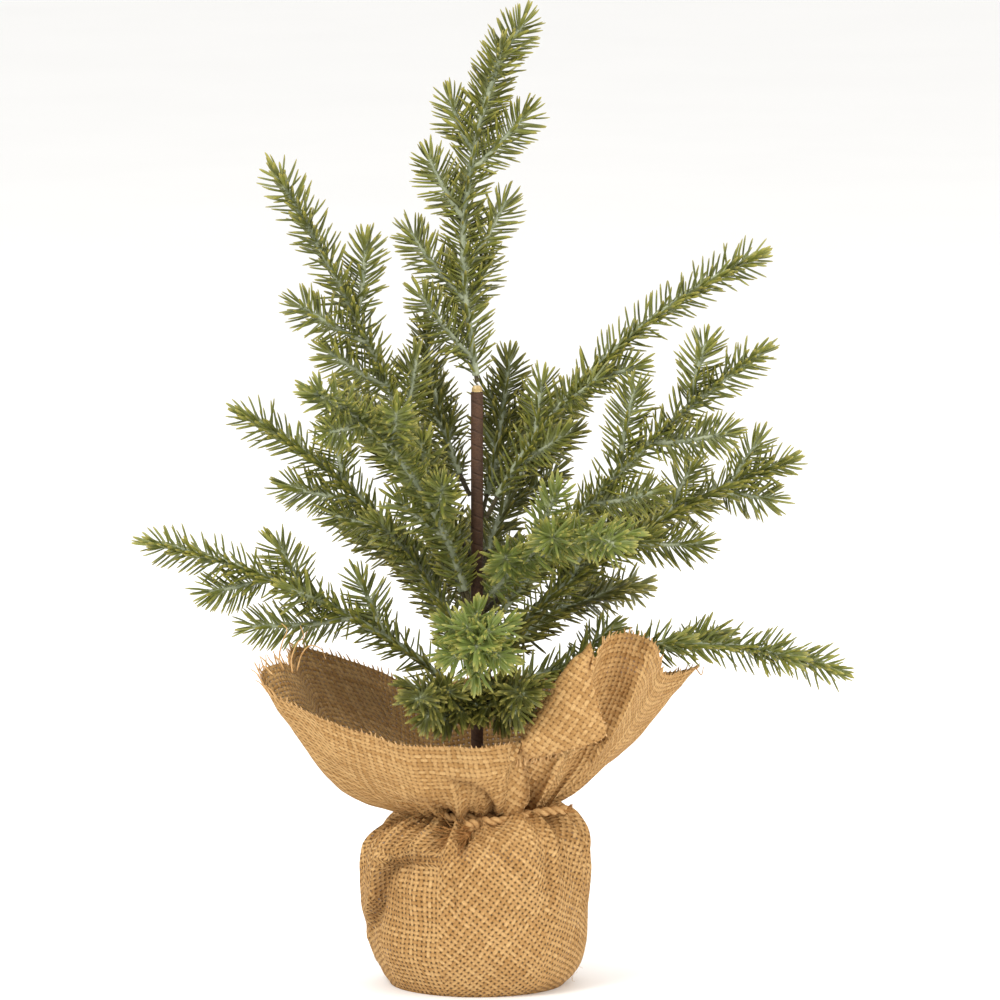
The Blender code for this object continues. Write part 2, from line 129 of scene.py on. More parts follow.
# %% Node helpers
class Finish:
    """A material under construction: its nodes are added in the order they are needed."""

    def __init__(self, name, roughness, metallic=0.0):
        self.material = bpy.data.materials.new(name)
        self.material.use_nodes = True
        self.tree = self.material.node_tree
        self.shader = self.tree.nodes["Principled BSDF"]
        self.shader.inputs["Roughness"].default_value = roughness
        self.shader.inputs["Metallic"].default_value = metallic

    def feed(self, socket, value):
        """Link a socket, or set a constant on it."""
        if isinstance(value, bpy.types.NodeSocket):
            self.tree.links.new(value, socket)
        elif value is not None:
            socket.default_value = value

    def node(self, kind, inputs=(), **settings):
        """Add a node, with its sockets in a dictionary and its settings by name."""
        made = self.tree.nodes.new(kind)
        for key, value in settings.items():
            setattr(made, key, value)
        for key, value in dict(inputs).items():
            self.feed(made.inputs[key], value)
        return made

    def place(self):
        return self.node("ShaderNodeTexCoord").outputs["Object"]

    def map(self, name):
        return self.node("ShaderNodeUVMap", uv_map=name).outputs["UV"]

    def value(self, name):
        return self.node("ShaderNodeAttribute", attribute_name=name).outputs["Fac"]

    def calc(self, operation, a, b=0.5, c=0.5):
        """One sum, such as MULTIPLY, or MULTIPLY_ADD for a * b + c."""
        made = self.node("ShaderNodeMath", operation=operation)
        for socket, value in zip(made.inputs, (a, b, c)):
            self.feed(socket, value)
        return made.outputs[0]

    def stretch(self, vector, scale):
        return self.node("ShaderNodeMapping", {"Vector": vector, "Scale": scale}).outputs[0]

    def noise(self, vector, scale, detail=2.0, rough=0.5):
        inputs = {"Vector": vector, "Scale": scale, "Detail": detail, "Roughness": rough}
        return self.node("ShaderNodeTexNoise", inputs).outputs["Fac"]

    def ramp(self, value, *stops):
        """A colour or grey for each place along a value."""
        made = self.node("ShaderNodeValToRGB", {"Fac": value})
        points = made.color_ramp.elements
        while len(points) < len(stops):
            points.new(0.5)
        for point, (at, colour) in zip(points, stops):
            point.position = at
            point.color = colour if hasattr(colour, "__len__") else (colour,) * 3 + (1,)
        return made.outputs["Color"]

    def mix(self, share, a, b, blend="MIX"):
        made = self.node("ShaderNodeMix", data_type="RGBA", blend_type=blend)
        self.feed(made.inputs["Factor"], share)
        self.feed(made.inputs["A"], a)
        self.feed(made.inputs["B"], b)
        return made.outputs["Result"]

    def bump(self, height, strength, distance):
        inputs = {"Height": height, "Strength": strength, "Distance": distance}
        self.feed(self.shader.inputs["Normal"], self.node("ShaderNodeBump", inputs).outputs[0])

    def colour(self, socket):
        self.feed(self.shader.inputs["Base Color"], socket)


def paint(red, green, blue):
    """A colour as it is seen, from 0 to 255, turned into the linear values that nodes use."""
    seen = [part / 255 for part in (red, green, blue)]
    return (*[p / 12.92 if p <= 0.04045 else ((p + 0.055) / 1.055) ** 2.4 for p in seen], 1.0)


print("a mid needle green in linear light:", [round(part, 3) for part in paint(86, 104, 52)])

# %% [markdown]
# ## Table
#
# A plain pale table that runs far past the picture's edge. It isn't part of the object.

# %% Table
table_finish = Finish("table", 0.6)
grain = table_finish.noise(table_finish.place(), 6.0, 3.0)
table_finish.colour(table_finish.ramp(grain, (0.3, 0.925), (0.7, 0.94)))

work = bmesh.new()
bmesh.ops.create_circle(work, cap_ends=True, segments=64, radius=400.0)
table_mesh = bpy.data.meshes.new("table")
work.to_mesh(table_mesh)
work.free()
table_mesh.materials.append(table_finish.material)
table = bpy.data.objects.new("table", table_mesh)
scene.collection.objects.link(table)

# %% [markdown]
# ## Turning a bmesh into a piece
#
# Every finished piece ends the same way: its faces are made to point outwards, the mesh gets its
# finish, and the object sits at the origin with its place in its mesh, as the frame's nodes do.

# %% Finished pieces
def finished(work, name, body, finishes, stands_for=(), smooth=True, recalc=True):
    """Turn a bmesh into a named piece that rides on a body of the frame."""
    if recalc:
        bmesh.ops.recalc_face_normals(work, faces=work.faces)
    mesh = bpy.data.meshes.new(name)
    work.to_mesh(mesh)
    work.free()
    for finish in finishes:
        mesh.materials.append(finish.material)
    if smooth:
        mesh.shade_smooth()
    piece = bpy.data.objects.new(name, mesh)
    scene.collection.objects.link(piece)
    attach(piece, body)
    if stands_for:
        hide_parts(*stands_for)
    return piece


print("helper: finished")

# %% [markdown]
# Stems, yarns and twine are all round bars along a path, like the frame's wires. A curve object
# with a bevel would draw them too, but here thousands of bars have to end up in a few meshes, so
# each one is extruded: a disc is copied along the path step by step, turned and scaled to fit each
# place.

# %% Round bars
def frames_along(path):
    """A frame at each point of a path: Z runs along it, and X turns as little as it can."""
    ahead = [(b - a).normalized() for a, b in zip(path, path[1:])]
    ahead.append(ahead[-1])
    heading = ahead[0]
    side = heading.orthogonal().normalized()
    frames = []
    for point, after in zip(path, ahead):
        turn = heading.rotation_difference(after)
        side = turn @ side
        heading = after
        upright = heading.cross(side)
        axes = Matrix((side, upright, heading)).transposed()
        frames.append(Matrix.LocRotScale(point, axes, None))
    return frames


def sweep(work, path, radii, sides):
    """Draw a round bar along a path with extrude, and close both of its ends."""
    frames = frames_along(path)
    ring = bmesh.ops.create_circle(
        work, cap_ends=True, segments=sides, radius=radii[0], matrix=frames[0]
    )
    first_edges = list({edge for vert in ring["verts"] for edge in vert.link_edges})
    top = ring["verts"][0].link_faces[0]
    for n in range(1, len(path)):
        top = bmesh.ops.extrude_discrete_faces(work, faces=[top])["faces"][0]
        step = Matrix.Scale(radii[n] / radii[n - 1], 4)
        there = frames[n] @ step @ frames[n - 1].inverted()
        bmesh.ops.transform(work, matrix=there, verts=top.verts)
    bmesh.ops.holes_fill(work, edges=first_edges, sides=sides)


print("helpers: frames_along, sweep")

# %% Smooth paths and marks
def smooth_path(points, steps):
    """A smooth curve through the points, with a few points between each two."""
    points = [Vector(point) for point in points]
    before = [points[0] * 2 - points[1]] + points[:-1]
    after = points[1:] + [points[-1] * 2 - points[-2]]
    slopes = [(b - a) / 6 for a, b in zip(before, after)]
    path = []
    for n in range(len(points) - 1):
        stretch = interpolate_bezier(
            points[n], points[n] + slopes[n],
            points[n + 1] - slopes[n + 1], points[n + 1], steps + 1,
        )
        path += stretch[:-1]
    return path + [points[-1]]


def mark(mesh, name, values):
    """Store one number for each vertex, for a finish to read."""
    layer = mesh.attributes.new(name, "FLOAT", "POINT")
    layer.data.foreach_set("value", np.asarray(values, np.float32))


print("helpers: smooth_path, mark")

# %% [markdown]
# ## Needles
#
# Each spray is one moulding of soft plastic: a ribbed stem that carries a few hundred stiff
# needles. A needle is a flat lance with a ridge on each side, so its cross-section is a diamond.
# Hair particles would be quicker, but they can't show that ridge and they don't export. So one
# needle is extruded here, and the sprays are filled with copies of it.

# %% One needle
NEEDLE_LENGTH = 0.0134
NEEDLE_HALF_WIDTH = 0.00082
NEEDLE_FLATNESS = 0.60
NEEDLE_SHAPE = ((0.0, 0.70), (0.15, 0.90), (0.5, 1.0), (0.82, 0.88), (0.95, 0.50))
NEEDLE_BENDS = (0.02, 0.07, 0.13)  # how far the tip bends forward, as a share of the length


def needle_blank(bend):
    """One needle of unit length along Z, with its flat side facing Y."""
    half = NEEDLE_HALF_WIDTH / NEEDLE_LENGTH
    work = bmesh.new()
    ring = bmesh.ops.create_circle(
        work, cap_ends=True, segments=4, radius=half * NEEDLE_SHAPE[0][1]
    )
    first_edges = list({edge for vert in ring["verts"] for edge in vert.link_edges})
    top = ring["verts"][0].link_faces[0]
    for (low, low_width), (high, high_width) in zip(NEEDLE_SHAPE, NEEDLE_SHAPE[1:]):
        top = bmesh.ops.extrude_discrete_faces(work, faces=[top])["faces"][0]
        grow = high_width / low_width
        bmesh.ops.scale(work, vec=(grow, grow, 1), verts=top.verts)
        bmesh.ops.translate(work, vec=(0, 0, high - low), verts=top.verts)
    top = bmesh.ops.extrude_discrete_faces(work, faces=[top])["faces"][0]
    bmesh.ops.pointmerge(work, verts=list(top.verts), merge_co=(0, 0, 1))
    bmesh.ops.holes_fill(work, edges=first_edges, sides=4)
    bmesh.ops.scale(work, vec=(1, NEEDLE_FLATNESS, 1), verts=work.verts)
    for vert in work.verts:
        vert.co.y += bend * vert.co.z**2
    bmesh.ops.recalc_face_normals(work, faces=work.faces)
    mesh = bpy.data.meshes.new("needle_blank")
    work.to_mesh(mesh)
    work.free()
    return mesh


blanks = [needle_blank(bend) for bend in NEEDLE_BENDS]
blank_along = np.array([vert.co.z for vert in blanks[0].vertices])
print("one needle:", len(blanks[0].vertices), "vertices,", len(blanks[0].polygons), "faces")

# %% [markdown]
# Polyethylene needles are dull and a little waxy. Their colour runs from a frosted grey-green at
# the root to a pale yellow-green tip, because the tips are dipped in a lighter colour, and no two
# needles take the dye quite alike. Both facts are stored on the vertices, as the numbers `along`
# and `dye_and_shade`. On the inner and back sprays `dye_and_shade` is held low, which paints shade
# on them. `lit_green` is painted light: a brighter, more saturated green laid on the sprays that
# face the light, most of all on the front one.

# %% Needle and stem finishes
NEEDLE_DARK = paint(70, 71, 27)
NEEDLE_MID = paint(117, 119, 48)
NEEDLE_YELLOW = paint(142, 137, 54)
# painted light: the brighter, more saturated green of the sprays that face the light
NEEDLE_LIT_GREEN = paint(110, 124, 56)
NEEDLE_TIP = paint(162, 151, 70)
FROST = paint(150, 156, 114)
STEM_GREY = paint(160, 165, 136)
STEM_SHADE = paint(122, 130, 102)

needle_finish = Finish("moulded_needles", 0.46)
along = needle_finish.value("along")
dye_and_shade = needle_finish.value("dye_and_shade")
mottle = needle_finish.noise(needle_finish.place(), 420.0, 3.0)
LAYERS = (  # what decides how much of a colour is laid on, its first and last share, the colour
    # each needle's own random dye; on the inner and back sprays it is held low, as painted shade
    (dye_and_shade, (0.0, 0.0), (0.8, 1.0), NEEDLE_MID),
    (dye_and_shade, (0.72, 0.0), (1.0, 0.75), NEEDLE_YELLOW),
    # painted light: the sprays that face the light take the brighter green
    (needle_finish.value("lit_green"), (0.0, 0.0), (1.0, 1.0), NEEDLE_LIT_GREEN),
    (mottle, (0.42, 0.0), (0.75, 0.35), NEEDLE_MID),
    (along, (0.0, 0.75), (0.38, 0.0), FROST),
    (along, (0.70, 0.0), (1.0, 0.8), NEEDLE_TIP),
)
green = NEEDLE_DARK
for decider, first, last, colour in LAYERS:
    green = needle_finish.mix(needle_finish.ramp(decider, first, last), green, colour)
needle_finish.colour(green)
needle_finish.bump(mottle, 0.2, 0.0003)
needle_finish.shader.inputs["Specular IOR Level"].default_value = 0.42

stem_finish = Finish("frosted_stem", 0.62)
ribs = stem_finish.noise(stem_finish.place(), 900.0, 2.0)
patches = stem_finish.noise(stem_finish.place(), 160.0, 3.0)
stem_finish.colour(stem_finish.mix(
    stem_finish.ramp(patches, (0.35, 0.0), (0.65, 1.0)), STEM_SHADE, STEM_GREY))
stem_finish.bump(ribs, 0.5, 0.0005)
print("finishes:", needle_finish.material.name, "and", stem_finish.material.name)

# %% [markdown]
# Looked at along a spray, its needles aren't spread evenly: most leave to the two sides on which
# the twigs lie too, fewer stand up or down, and so the frosted stem shows between them. The
# golden angle spreads them without any rows, and NEEDLE_CROWD then pulls them to the sides.

# %% Where the needles go
GOLDEN = pi * (3 - sqrt(5))
NEEDLE_PITCH = 0.00045  # length of stem for each needle
NEEDLE_CROWD = 0.44
SPREAD_LOW, SPREAD_TIP = radians(62), radians(36)
SPREAD_VARIES, TURN_VARIES = radians(6), radians(22)
TIP_CROWD = 0.22  # how far the needles crowd towards the tip
FAN_LENGTH = 0.010  # the last stretch, where the needles close up into a fan
BUD_LENGTH = 0.002  # the very tip, where a few needles point straight on
ROOT_LENGTH = 0.008  # the first stretch, where they are shorter
NEEDLE_FOOT = 0.0004  # from the middle of the stem


def stem_frame(point_at, s, length, across):
    """A frame on a stem: Z along it, X to the side on which its twigs lie."""
    step = length * 0.01
    along_stem = (point_at(min(s + step, length)) - point_at(max(s - step, 0))).normalized()
    upright = along_stem.cross(across).normalized()
    return along_stem, upright.cross(along_stem), upright


def needle_places(point_at, start, length, across, draw):
    """Where each needle of a stem goes, as a matrix that takes the blank there."""
    places = []
    count = int((length - start) / NEEDLE_PITCH)
    for n in range(count):
        share = (n + 0.5) / count
        share += TIP_CROWD * share * (1 - share)
        s = start + (length - start) * share
        to_tip = length - s
        along_stem, side, upright = stem_frame(point_at, s, length, across)
        angle = n * GOLDEN + draw.uniform(-0.3, 0.3)
        angle -= NEEDLE_CROWD * sin(2 * angle)
        radial = side * cos(angle) + upright * sin(angle)
        fan = min(1.0, to_tip / FAN_LENGTH)
        spread = SPREAD_TIP + (SPREAD_LOW - SPREAD_TIP) * fan + draw.gauss(0, SPREAD_VARIES)
        if to_tip < BUD_LENGTH:
            spread *= draw.uniform(0.2, 0.9)
        aimed = along_stem * cos(spread) + radial * sin(spread)
        broad = Quaternion(aimed, draw.gauss(0, TURN_VARIES)) @ along_stem.cross(radial)
        size = NEEDLE_LENGTH * draw.uniform(0.84, 1.08) * (0.82 + 0.18 * fan)
        size *= min(1.0, 0.7 + 0.3 * (s - start) / ROOT_LENGTH)
        foot = point_at(s) + radial * NEEDLE_FOOT
        turn = Matrix((broad, aimed.cross(broad), aimed)).transposed()
        wide = size / NEEDLE_LENGTH * 0.4 + 0.6
        places.append(Matrix.LocRotScale(
            foot, turn, Vector((NEEDLE_LENGTH * wide, NEEDLE_LENGTH * wide, size))))
    return places


print("one needle for each", NEEDLE_PITCH * 1000, "mm of stem")

# %% [markdown]
# The needles sit on the stem in rings of small raised bases. A stem that swells and narrows with
# each ring looks ribbed in the same way, for a tenth of the faces.

# %% Stems
STEM_SIDES = 7
STEM_RIB = 0.0021  # from one rib to the next
RIB_WAIST = 0.84  # how far a stem narrows between two ribs
STEM_ROOT_RADIUS, STEM_TIP_RADIUS = 0.00185, 0.00120


def draw_stem(work, point_at, start, length, thick):
    """A stem with a rib for each ring of needle bases."""
    ribs_along = max(4, round((length - start) / STEM_RIB))
    path, radii = [], []
    for n in range(2 * ribs_along + 1):
        share = n / (2 * ribs_along)
        radius = STEM_ROOT_RADIUS + (STEM_TIP_RADIUS - STEM_ROOT_RADIUS) * share
        path.append(point_at(start + (length - start) * share))
        radii.append(thick * radius * (1.0 if n % 2 else RIB_WAIST))
    sweep(work, path, radii, STEM_SIDES)


print("stems:", STEM_SIDES, "sides, a rib for each", STEM_RIB * 1000, "mm")

# %% [markdown]
# A spray is drawn as one piece: first all its stems, then a copy of a blank for each needle. The
# faces of both keep the order in which they were added, so the two finishes and the three
# numbers can be set in one go for each kind.

# %% A whole spray
INNER_SHADE = 0.45  # painted shade: the inner and back sprays, which lie in the shade of the outer ones, keep closer to the dark green


def make_spray(name, shoots, lit_green, draw):
    """One moulded spray: its stems, with their needles, as one piece."""
    work = bmesh.new()
    for point_at, start, length, across, thick in shoots:
        draw_stem(work, point_at, start, length, thick)
    bmesh.ops.recalc_face_normals(work, faces=work.faces)
    stem_verts = len(work.verts)
    stem_faces = len(work.faces)
    count = 0
    for point_at, start, length, across, thick in shoots:
        for place in needle_places(point_at, start, length, across, draw):
            needle = draw.choice(blanks).copy()
            needle.transform(place)
            work.from_mesh(needle)
            bpy.data.meshes.remove(needle)
            count += 1
    piece = finished(
        work, f"{name}_needles", f"{name}_limb", (stem_finish, needle_finish),
        stands_for=[f"{name}_spray"], recalc=False)
    mesh = piece.data
    slots = np.zeros(len(mesh.polygons), np.int32)
    slots[stem_faces:] = 1
    mesh.polygons.foreach_set("material_index", slots)
    mesh.polygons.foreach_set("use_smooth", slots == 0)
    # painted shade: a spray with no lit green has its needles' dye held low, towards the dark green
    depth = INNER_SHADE if lit_green == 0 else 1.0
    needle_dye_and_shade = np.repeat([depth * draw.random() for n in range(count)], len(blank_along))
    mark(mesh, "along", np.concatenate([np.zeros(stem_verts), np.tile(blank_along, count)]))
    mark(mesh, "dye_and_shade", np.concatenate([np.zeros(stem_verts), needle_dye_and_shade]))
    mark(mesh, "lit_green", np.full(len(mesh.vertices), lit_green))
    return count


print("a spray takes", len(blanks), "kinds of needle")

# %% [markdown]
# ## Branches
#
# Every branch is bound to the trunk by its wire and rises in an arc that flattens towards its
# tip. The hinge in the frame gives where each one starts and which way it points. A circular
# arc needs only three more numbers: its length and its slope at both ends.

# %% Branch shapes
BARE = 0.011  # wire showing between the trunk and the spray
TWIG_SPLAY = radians(40)
# Name, length, slope at the root and at the tip in degrees, the share of painted light green (most
# on the sprays that face the light; at 0 the spray is painted in shade), and the twigs: share of
# the length where each one leaves, its direction round the branch (0 is the upper side, 90 the
# right-hand side looking outward), and its length.
BRANCHES = (
    ("upper_left", 0.226, 74, 58, 0.15,
     ((0.20, 90, 0.030), (0.28, -90, 0.030), (0.42, 0, 0.030), (0.50, 180, 0.034),
      (0.60, 180, 0.038), (0.66, 0, 0.034))),
    ("left_front", 0.169, 67, 20, 0.35,
     ((0.24, 100, 0.028), (0.32, -100, 0.030), (0.50, 60, 0.028), (0.62, -70, 0.030),
      (0.76, 180, 0.026))),
    ("left", 0.153, 67, 27, 0.25,
     ((0.24, 90, 0.028), (0.34, -90, 0.028), (0.45, 180, 0.026), (0.57, 180, 0.034),
      (0.64, 10, 0.026))),
    ("low_left", 0.163, 42, 12, 0.25,
     ((0.20, 90, 0.028), (0.30, 10, 0.028), (0.40, 180, 0.046), (0.46, -90, 0.028),
      (0.55, 0, 0.026), (0.66, 180, 0.028))),
    ("upper_right", 0.174, 63, 25, 0.20,
     ((0.16, 120, 0.028), (0.25, -40, 0.026), (0.35, 100, 0.026), (0.45, 150, 0.024))),
    ("right_mid", 0.190, 56, 36, 0.20,
     ((0.22, 90, 0.032), (0.30, -90, 0.034), (0.42, 170, 0.034), (0.54, 0, 0.038),
      (0.64, 160, 0.042), (0.78, 0, 0.030))),
    ("right", 0.168, 46, 17, 0.15,
     ((0.22, -90, 0.032), (0.32, 20, 0.034), (0.40, 90, 0.030), (0.50, 160, 0.034),
      (0.64, 0, 0.026), (0.80, 180, 0.026), (0.84, 0, 0.022))),
    ("right_front", 0.127, 48, -6, 0.75,
     ((0.26, 100, 0.028), (0.34, -100, 0.028), (0.45, 0, 0.034), (0.60, 90, 0.028),
      (0.72, -90, 0.026))),
    ("front", 0.125, 18, 2, 1.0,
     ((0.48, 115, 0.026), (0.50, -115, 0.026), (0.55, 60, 0.026), (0.60, -60, 0.026),
      (0.64, 180, 0.026), (0.68, 0, 0.024),
      (0.76, 120, 0.021), (0.78, -120, 0.021), (0.84, 30, 0.018), (0.86, -40, 0.018))),
    ("low_right", 0.169, 29, -22, 0.35,
     ((0.18, 100, 0.028), (0.26, -60, 0.028), (0.40, 80, 0.028), (0.55, -80, 0.028),
      (0.72, 90, 0.026))),
    ("right_back", 0.124, 34, -6, 0.0,
     ((0.50, 80, 0.028), (0.65, -80, 0.026))),
    ("right_shade", 0.130, 34, 2, 0.0,
     ((0.55, 80, 0.026), (0.65, -80, 0.026))),
    ("left_inner", 0.080, 55, 86, 0.0,
     ((0.34, 90, 0.016), (0.42, -90, 0.018), (0.50, 110, 0.016), (0.60, -130, 0.018))),
    ("right_inner", 0.075, 58, 80, 0.0,
     ((0.34, 90, 0.016), (0.42, -90, 0.016), (0.50, 130, 0.018), (0.62, -60, 0.014))),
    ("back_high_right", 0.130, 48, 18, 0.0,
     ((0.28, 90, 0.030), (0.36, -90, 0.030), (0.50, 80, 0.028), (0.65, -80, 0.026))),
    ("back", 0.130, 35, 5, 0.0,
     ((0.28, 90, 0.032), (0.36, -90, 0.032), (0.50, 80, 0.030), (0.65, -80, 0.028))),
    ("back_left", 0.122, 50, 8, 0.1,
     ((0.45, 80, 0.028), (0.60, -80, 0.028))),
    ("back_high_left", 0.118, 50, 25, 0.0,
     ((0.28, 90, 0.030), (0.36, -90, 0.030), (0.50, 80, 0.026), (0.65, -80, 0.026))),
    ("low_front_left", 0.078, 22, -2, 0.0,
     ((0.20, -120, 0.026), (0.22, 140, 0.024), (0.26, 180, 0.024), (0.34, -130, 0.022),
      (0.50, 80, 0.020),
      (0.60, -80, 0.020), (0.62, 180, 0.018))),
    ("low_front_right", 0.070, 20, 0, 0.0,
     ((0.20, 120, 0.026), (0.22, -140, 0.024), (0.26, 180, 0.024), (0.34, 130, 0.022),
      (0.50, 80, 0.018),
      (0.60, -80, 0.018), (0.62, 180, 0.018))),
)
UP = Vector((0, 0, 1))
print("branches:", len(BRANCHES), "with", sum(len(branch[5]) for branch in BRANCHES), "twigs")

# %% [markdown]
# A stem is a function that gives the point at any length along it, so that ribs and needles can
# be set out evenly without storing the line. A twig leaves it at a fixed splay and hooks back a
# little towards the branch's own direction.

# %% Lines of branches and twigs
TWIG_HOOK = 0.10
TWIG_START = 0.0015  # just outside the middle of the branch
TWIG_THICK = 0.8  # against the branch's own stem


def arc_stem(root, outward, length, low, high):
    """A branch's line: a circular arc in the upright plane that holds its hinge."""
    bend = radians(high - low) / length

    def point_at(s):
        angle = radians(low) + bend * s
        across = (sin(angle) - sin(radians(low))) / bend
        rise = (cos(radians(low)) - cos(angle)) / bend
        return root + outward * across + UP * rise

    return point_at


def twig_line(point_at, length, at, turn, twig_length, reference):
    """A side twig: a slightly curved line from its foot on a branch."""
    foot = point_at(length * at)
    ahead = (point_at(length * at + length * 0.01) - foot).normalized()
    side = ahead.cross(reference).normalized()
    outward = side.cross(ahead) * cos(radians(turn)) + side * sin(radians(turn))
    heading = ahead * cos(TWIG_SPLAY) + outward * sin(TWIG_SPLAY)
    hook = (ahead - heading * ahead.dot(heading)).normalized() * TWIG_HOOK / twig_length

    def along_twig(s):
        return foot + heading * s + hook * s * s

    return along_twig, outward


def shoots_of(point_at, bare, length, reference, twigs, fan_side):
    """The main stem and the twigs of a branch, as make_spray wants them."""
    shoots = [(point_at, bare, length, fan_side, 1.0)]
    for at, turn, twig_length in twigs:
        line, outward = twig_line(point_at, length, at, turn, twig_length, reference)
        shoots.append((line, TWIG_START, twig_length, outward, TWIG_THICK))
    return shoots


print("helpers: arc_stem, twig_line, shoots_of")

# %% Grow the branches
needle_total = 0
for number, (name, length, low, high, lit_green, twigs) in enumerate(BRANCHES):
    joint = joints[f"{name}_bend"]
    outward = UP.cross(Vector(joint["axis"]))
    point_at = arc_stem(Vector(joint["pos_m"]), outward, length, low, high)
    twigs_upright = abs(cos(radians(twigs[0][1]))) > 0.7
    fan_side = UP if twigs_upright else Vector(joint["axis"])
    shoots = shoots_of(point_at, BARE, length, UP, twigs, fan_side)
    needle_total += make_spray(name, shoots, lit_green, Random(100 + number))
print("branches:", len(BRANCHES), "with", needle_total, "needles")

# %% [markdown]
# The leader is the top shoot. It isn't an arc but wavers a little, so a smooth curve goes through
# six points, and its twigs leave all round it.

# %% Leader
LEADER_BARE = 0.003
# painted light: the share of the brighter lit green on the leader
LEADER_LIT_GREEN = 0.1
LEADER_ROUTE = (
    (0.000, 0.0, 0.000), (-0.005, 0.0, 0.038), (-0.006, 0.0, 0.073),
    (0.000, 0.0, 0.113), (0.010, 0.0, 0.146), (0.021, 0.0, 0.165),
)
# Share of the length, direction (0 right, 90 back, 180 left), length of the twig
LEADER_TWIGS = (
    (0.06, 215, 0.042), (0.14, 100, 0.034), (0.20, 35, 0.024), (0.22, 172, 0.040),
    (0.30, 12, 0.037), (0.37, 90, 0.030), (0.44, 195, 0.033), (0.57, -8, 0.037),
    (0.62, 172, 0.026), (0.70, 85, 0.022), (0.82, 262, 0.020),
)


def route_stem(root, points, steps):
    """A stem along a smooth route, measured by its length."""
    path = [root + point for point in smooth_path(points, steps)]
    reach = np.cumsum([0.0] + [(b - a).length for a, b in zip(path, path[1:])])

    def point_at(s):
        n = int(np.clip(np.searchsorted(reach, s), 1, len(path) - 1))
        return path[n - 1].lerp(path[n], (s - reach[n - 1]) / (reach[n] - reach[n - 1]))

    return point_at, float(reach[-1])


leader_root = Vector(joints["leader_bend"]["pos_m"])
leader_line, leader_length = route_stem(leader_root, LEADER_ROUTE, 8)
leader_side = Vector((1, 0, 0))
leader_shoots = shoots_of(
    leader_line, LEADER_BARE, leader_length, leader_side, LEADER_TWIGS, leader_side)
leader_needles = make_spray("leader", leader_shoots, LEADER_LIT_GREEN, Random(7))
print("leader:", round(leader_length * 1000), "mm with", leader_needles, "needles")

# %% [markdown]
# ## The burlap wrap
#
# One square of open jute cloth is laid under the pot, gathered up round it and tied, and its
# corners flare out above the tie. A cloth simulation could gather it, but the folds would fall as
# they like. So the cloth is spun as a flat disc of rings and columns, and each ring is then drawn
# up to its place: floor, bag, neck or skirt. The pot and the twine of the frame say where those
# are. The skirt's rim is a closed curve through listed points.

# %% Cloth sizes, from the frame
pot_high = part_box("pot")[1]
band_low, band_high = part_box("twine_band")
TWINE = 0.004
SLACK = 0.007  # from the pot's side to the outside of the belly
NECK_HALF = 0.00325  # half the height of the tied neck

neck_middle = (band_low.z + band_high.z) / 2
neck_low, neck_high = neck_middle - NECK_HALF, neck_middle + NECK_HALF
neck_radius = (band_high.y - band_low.y) / 2 - TWINE
belly = pot_high.x + SLACK
shoulder = neck_low - pot_high.z
BAG_LINE = (  # radius and height of the bag's side
    (0.040, 0.0), (belly * 0.90, pot_high.z * 0.10), (belly * 0.98, pot_high.z * 0.30),
    (belly, pot_high.z * 0.60), (belly * 0.98, pot_high.z * 0.88),
    (belly * 0.90, pot_high.z + shoulder * 0.40), (belly * 0.70, pot_high.z + shoulder * 0.82),
    (neck_radius, neck_low),
)
print("belly", round(belly * 1000), "mm, neck", round(neck_radius * 1000, 1), "mm in radius")

# %% [markdown]
# Each rim point says where the edge is (to the right, to the back, and above the neck, in
# millimetres), at which azimuth its column of cloth leaves the neck, and how late that column
# rises. Where two points lie side by side but in turned order, the cloth folds over itself. A
# last triple is the place where a column turns over before it comes back to its edge: that is
# the rolled corner on the right.

# %% Rim of the skirt
RIM = (
    (-12, -55, 35, -104, 1.7), (2, -56, 35, -88, 1.6), (12, -55.5, 36, -72, 1.6),
    (20, -53.5, 37, -60, 1.6, (19, -54, 37)), (23, -50, 31, -55, 1.6, (21, -54, 40)),
    (40, -47, 33, -49, 1.6, (25, -53, 47)), (58, -44, 38, -43, 1.6, (31, -53, 56)),
    (57, -44, 48, -37, 1.6, (36, -52, 64)), (54, -45, 60, -31, 1.6, (42, -51, 73)),
    (51, -45, 70, -26, 1.6, (47, -49, 77)), (54, -43, 74, -22, 1.7, (52, -47, 79)),
    (57, -36, 79, -18, 1.8), (61, -24, 81, -14, 1.9), (68, -20, 82, -9, 2.0),
    (75, -24, 81, -4, 2.0), (81, -27, 78, 1, 2.0), (84, -16, 70, 8, 2.0), (86, -3, 60, 16, 2.0),
    (93, 12, 58, 24, 1.9), (101, 26, 59, 32, 1.8), (88, 42, 54, 46, 1.8),
    (62, 52, 51, 60, 1.8), (30, 58, 50, 76, 1.8), (0, 60, 49, 92, 1.8), (-28, 56, 45, 108, 1.8),
    (-46, 48, 54, 121, 2.0), (-66, 36, 63, 135, 2.1), (-84, 28, 68, 148, 2.2),
    (-86, 12, 65, 158, 2.3), (-84, 0, 63, 166, 2.4), (-90, -14, 67, 175, 2.5),
    (-98, -25, 65, 185, 2.6), (-95, -32, 57, 193, 2.5), (-84, -37, 52, 200, 2.4),
    (-70, -43, 46, 208, 2.3), (-58, -47, 42, 216, 2.2), (-46, -51, 39, 225, 2.1),
    (-36, -53, 36, 234, 1.9), (-25, -55, 35, 244, 1.8),
)
COLUMNS = 470
SKIRT_SPREAD = 0.85
TURN_AT = 0.70  # the share of a column's length at which a rolled corner turns over
BULGE = 0.007
print("rim points:", len(RIM))

# %% [markdown]
# A smooth closed curve goes through the points. Evenly spaced columns would crowd at the neck
# where the rim is long, and evenly spaced neck angles would crowd at the rim, so the columns are
# shared out by the mean of both.

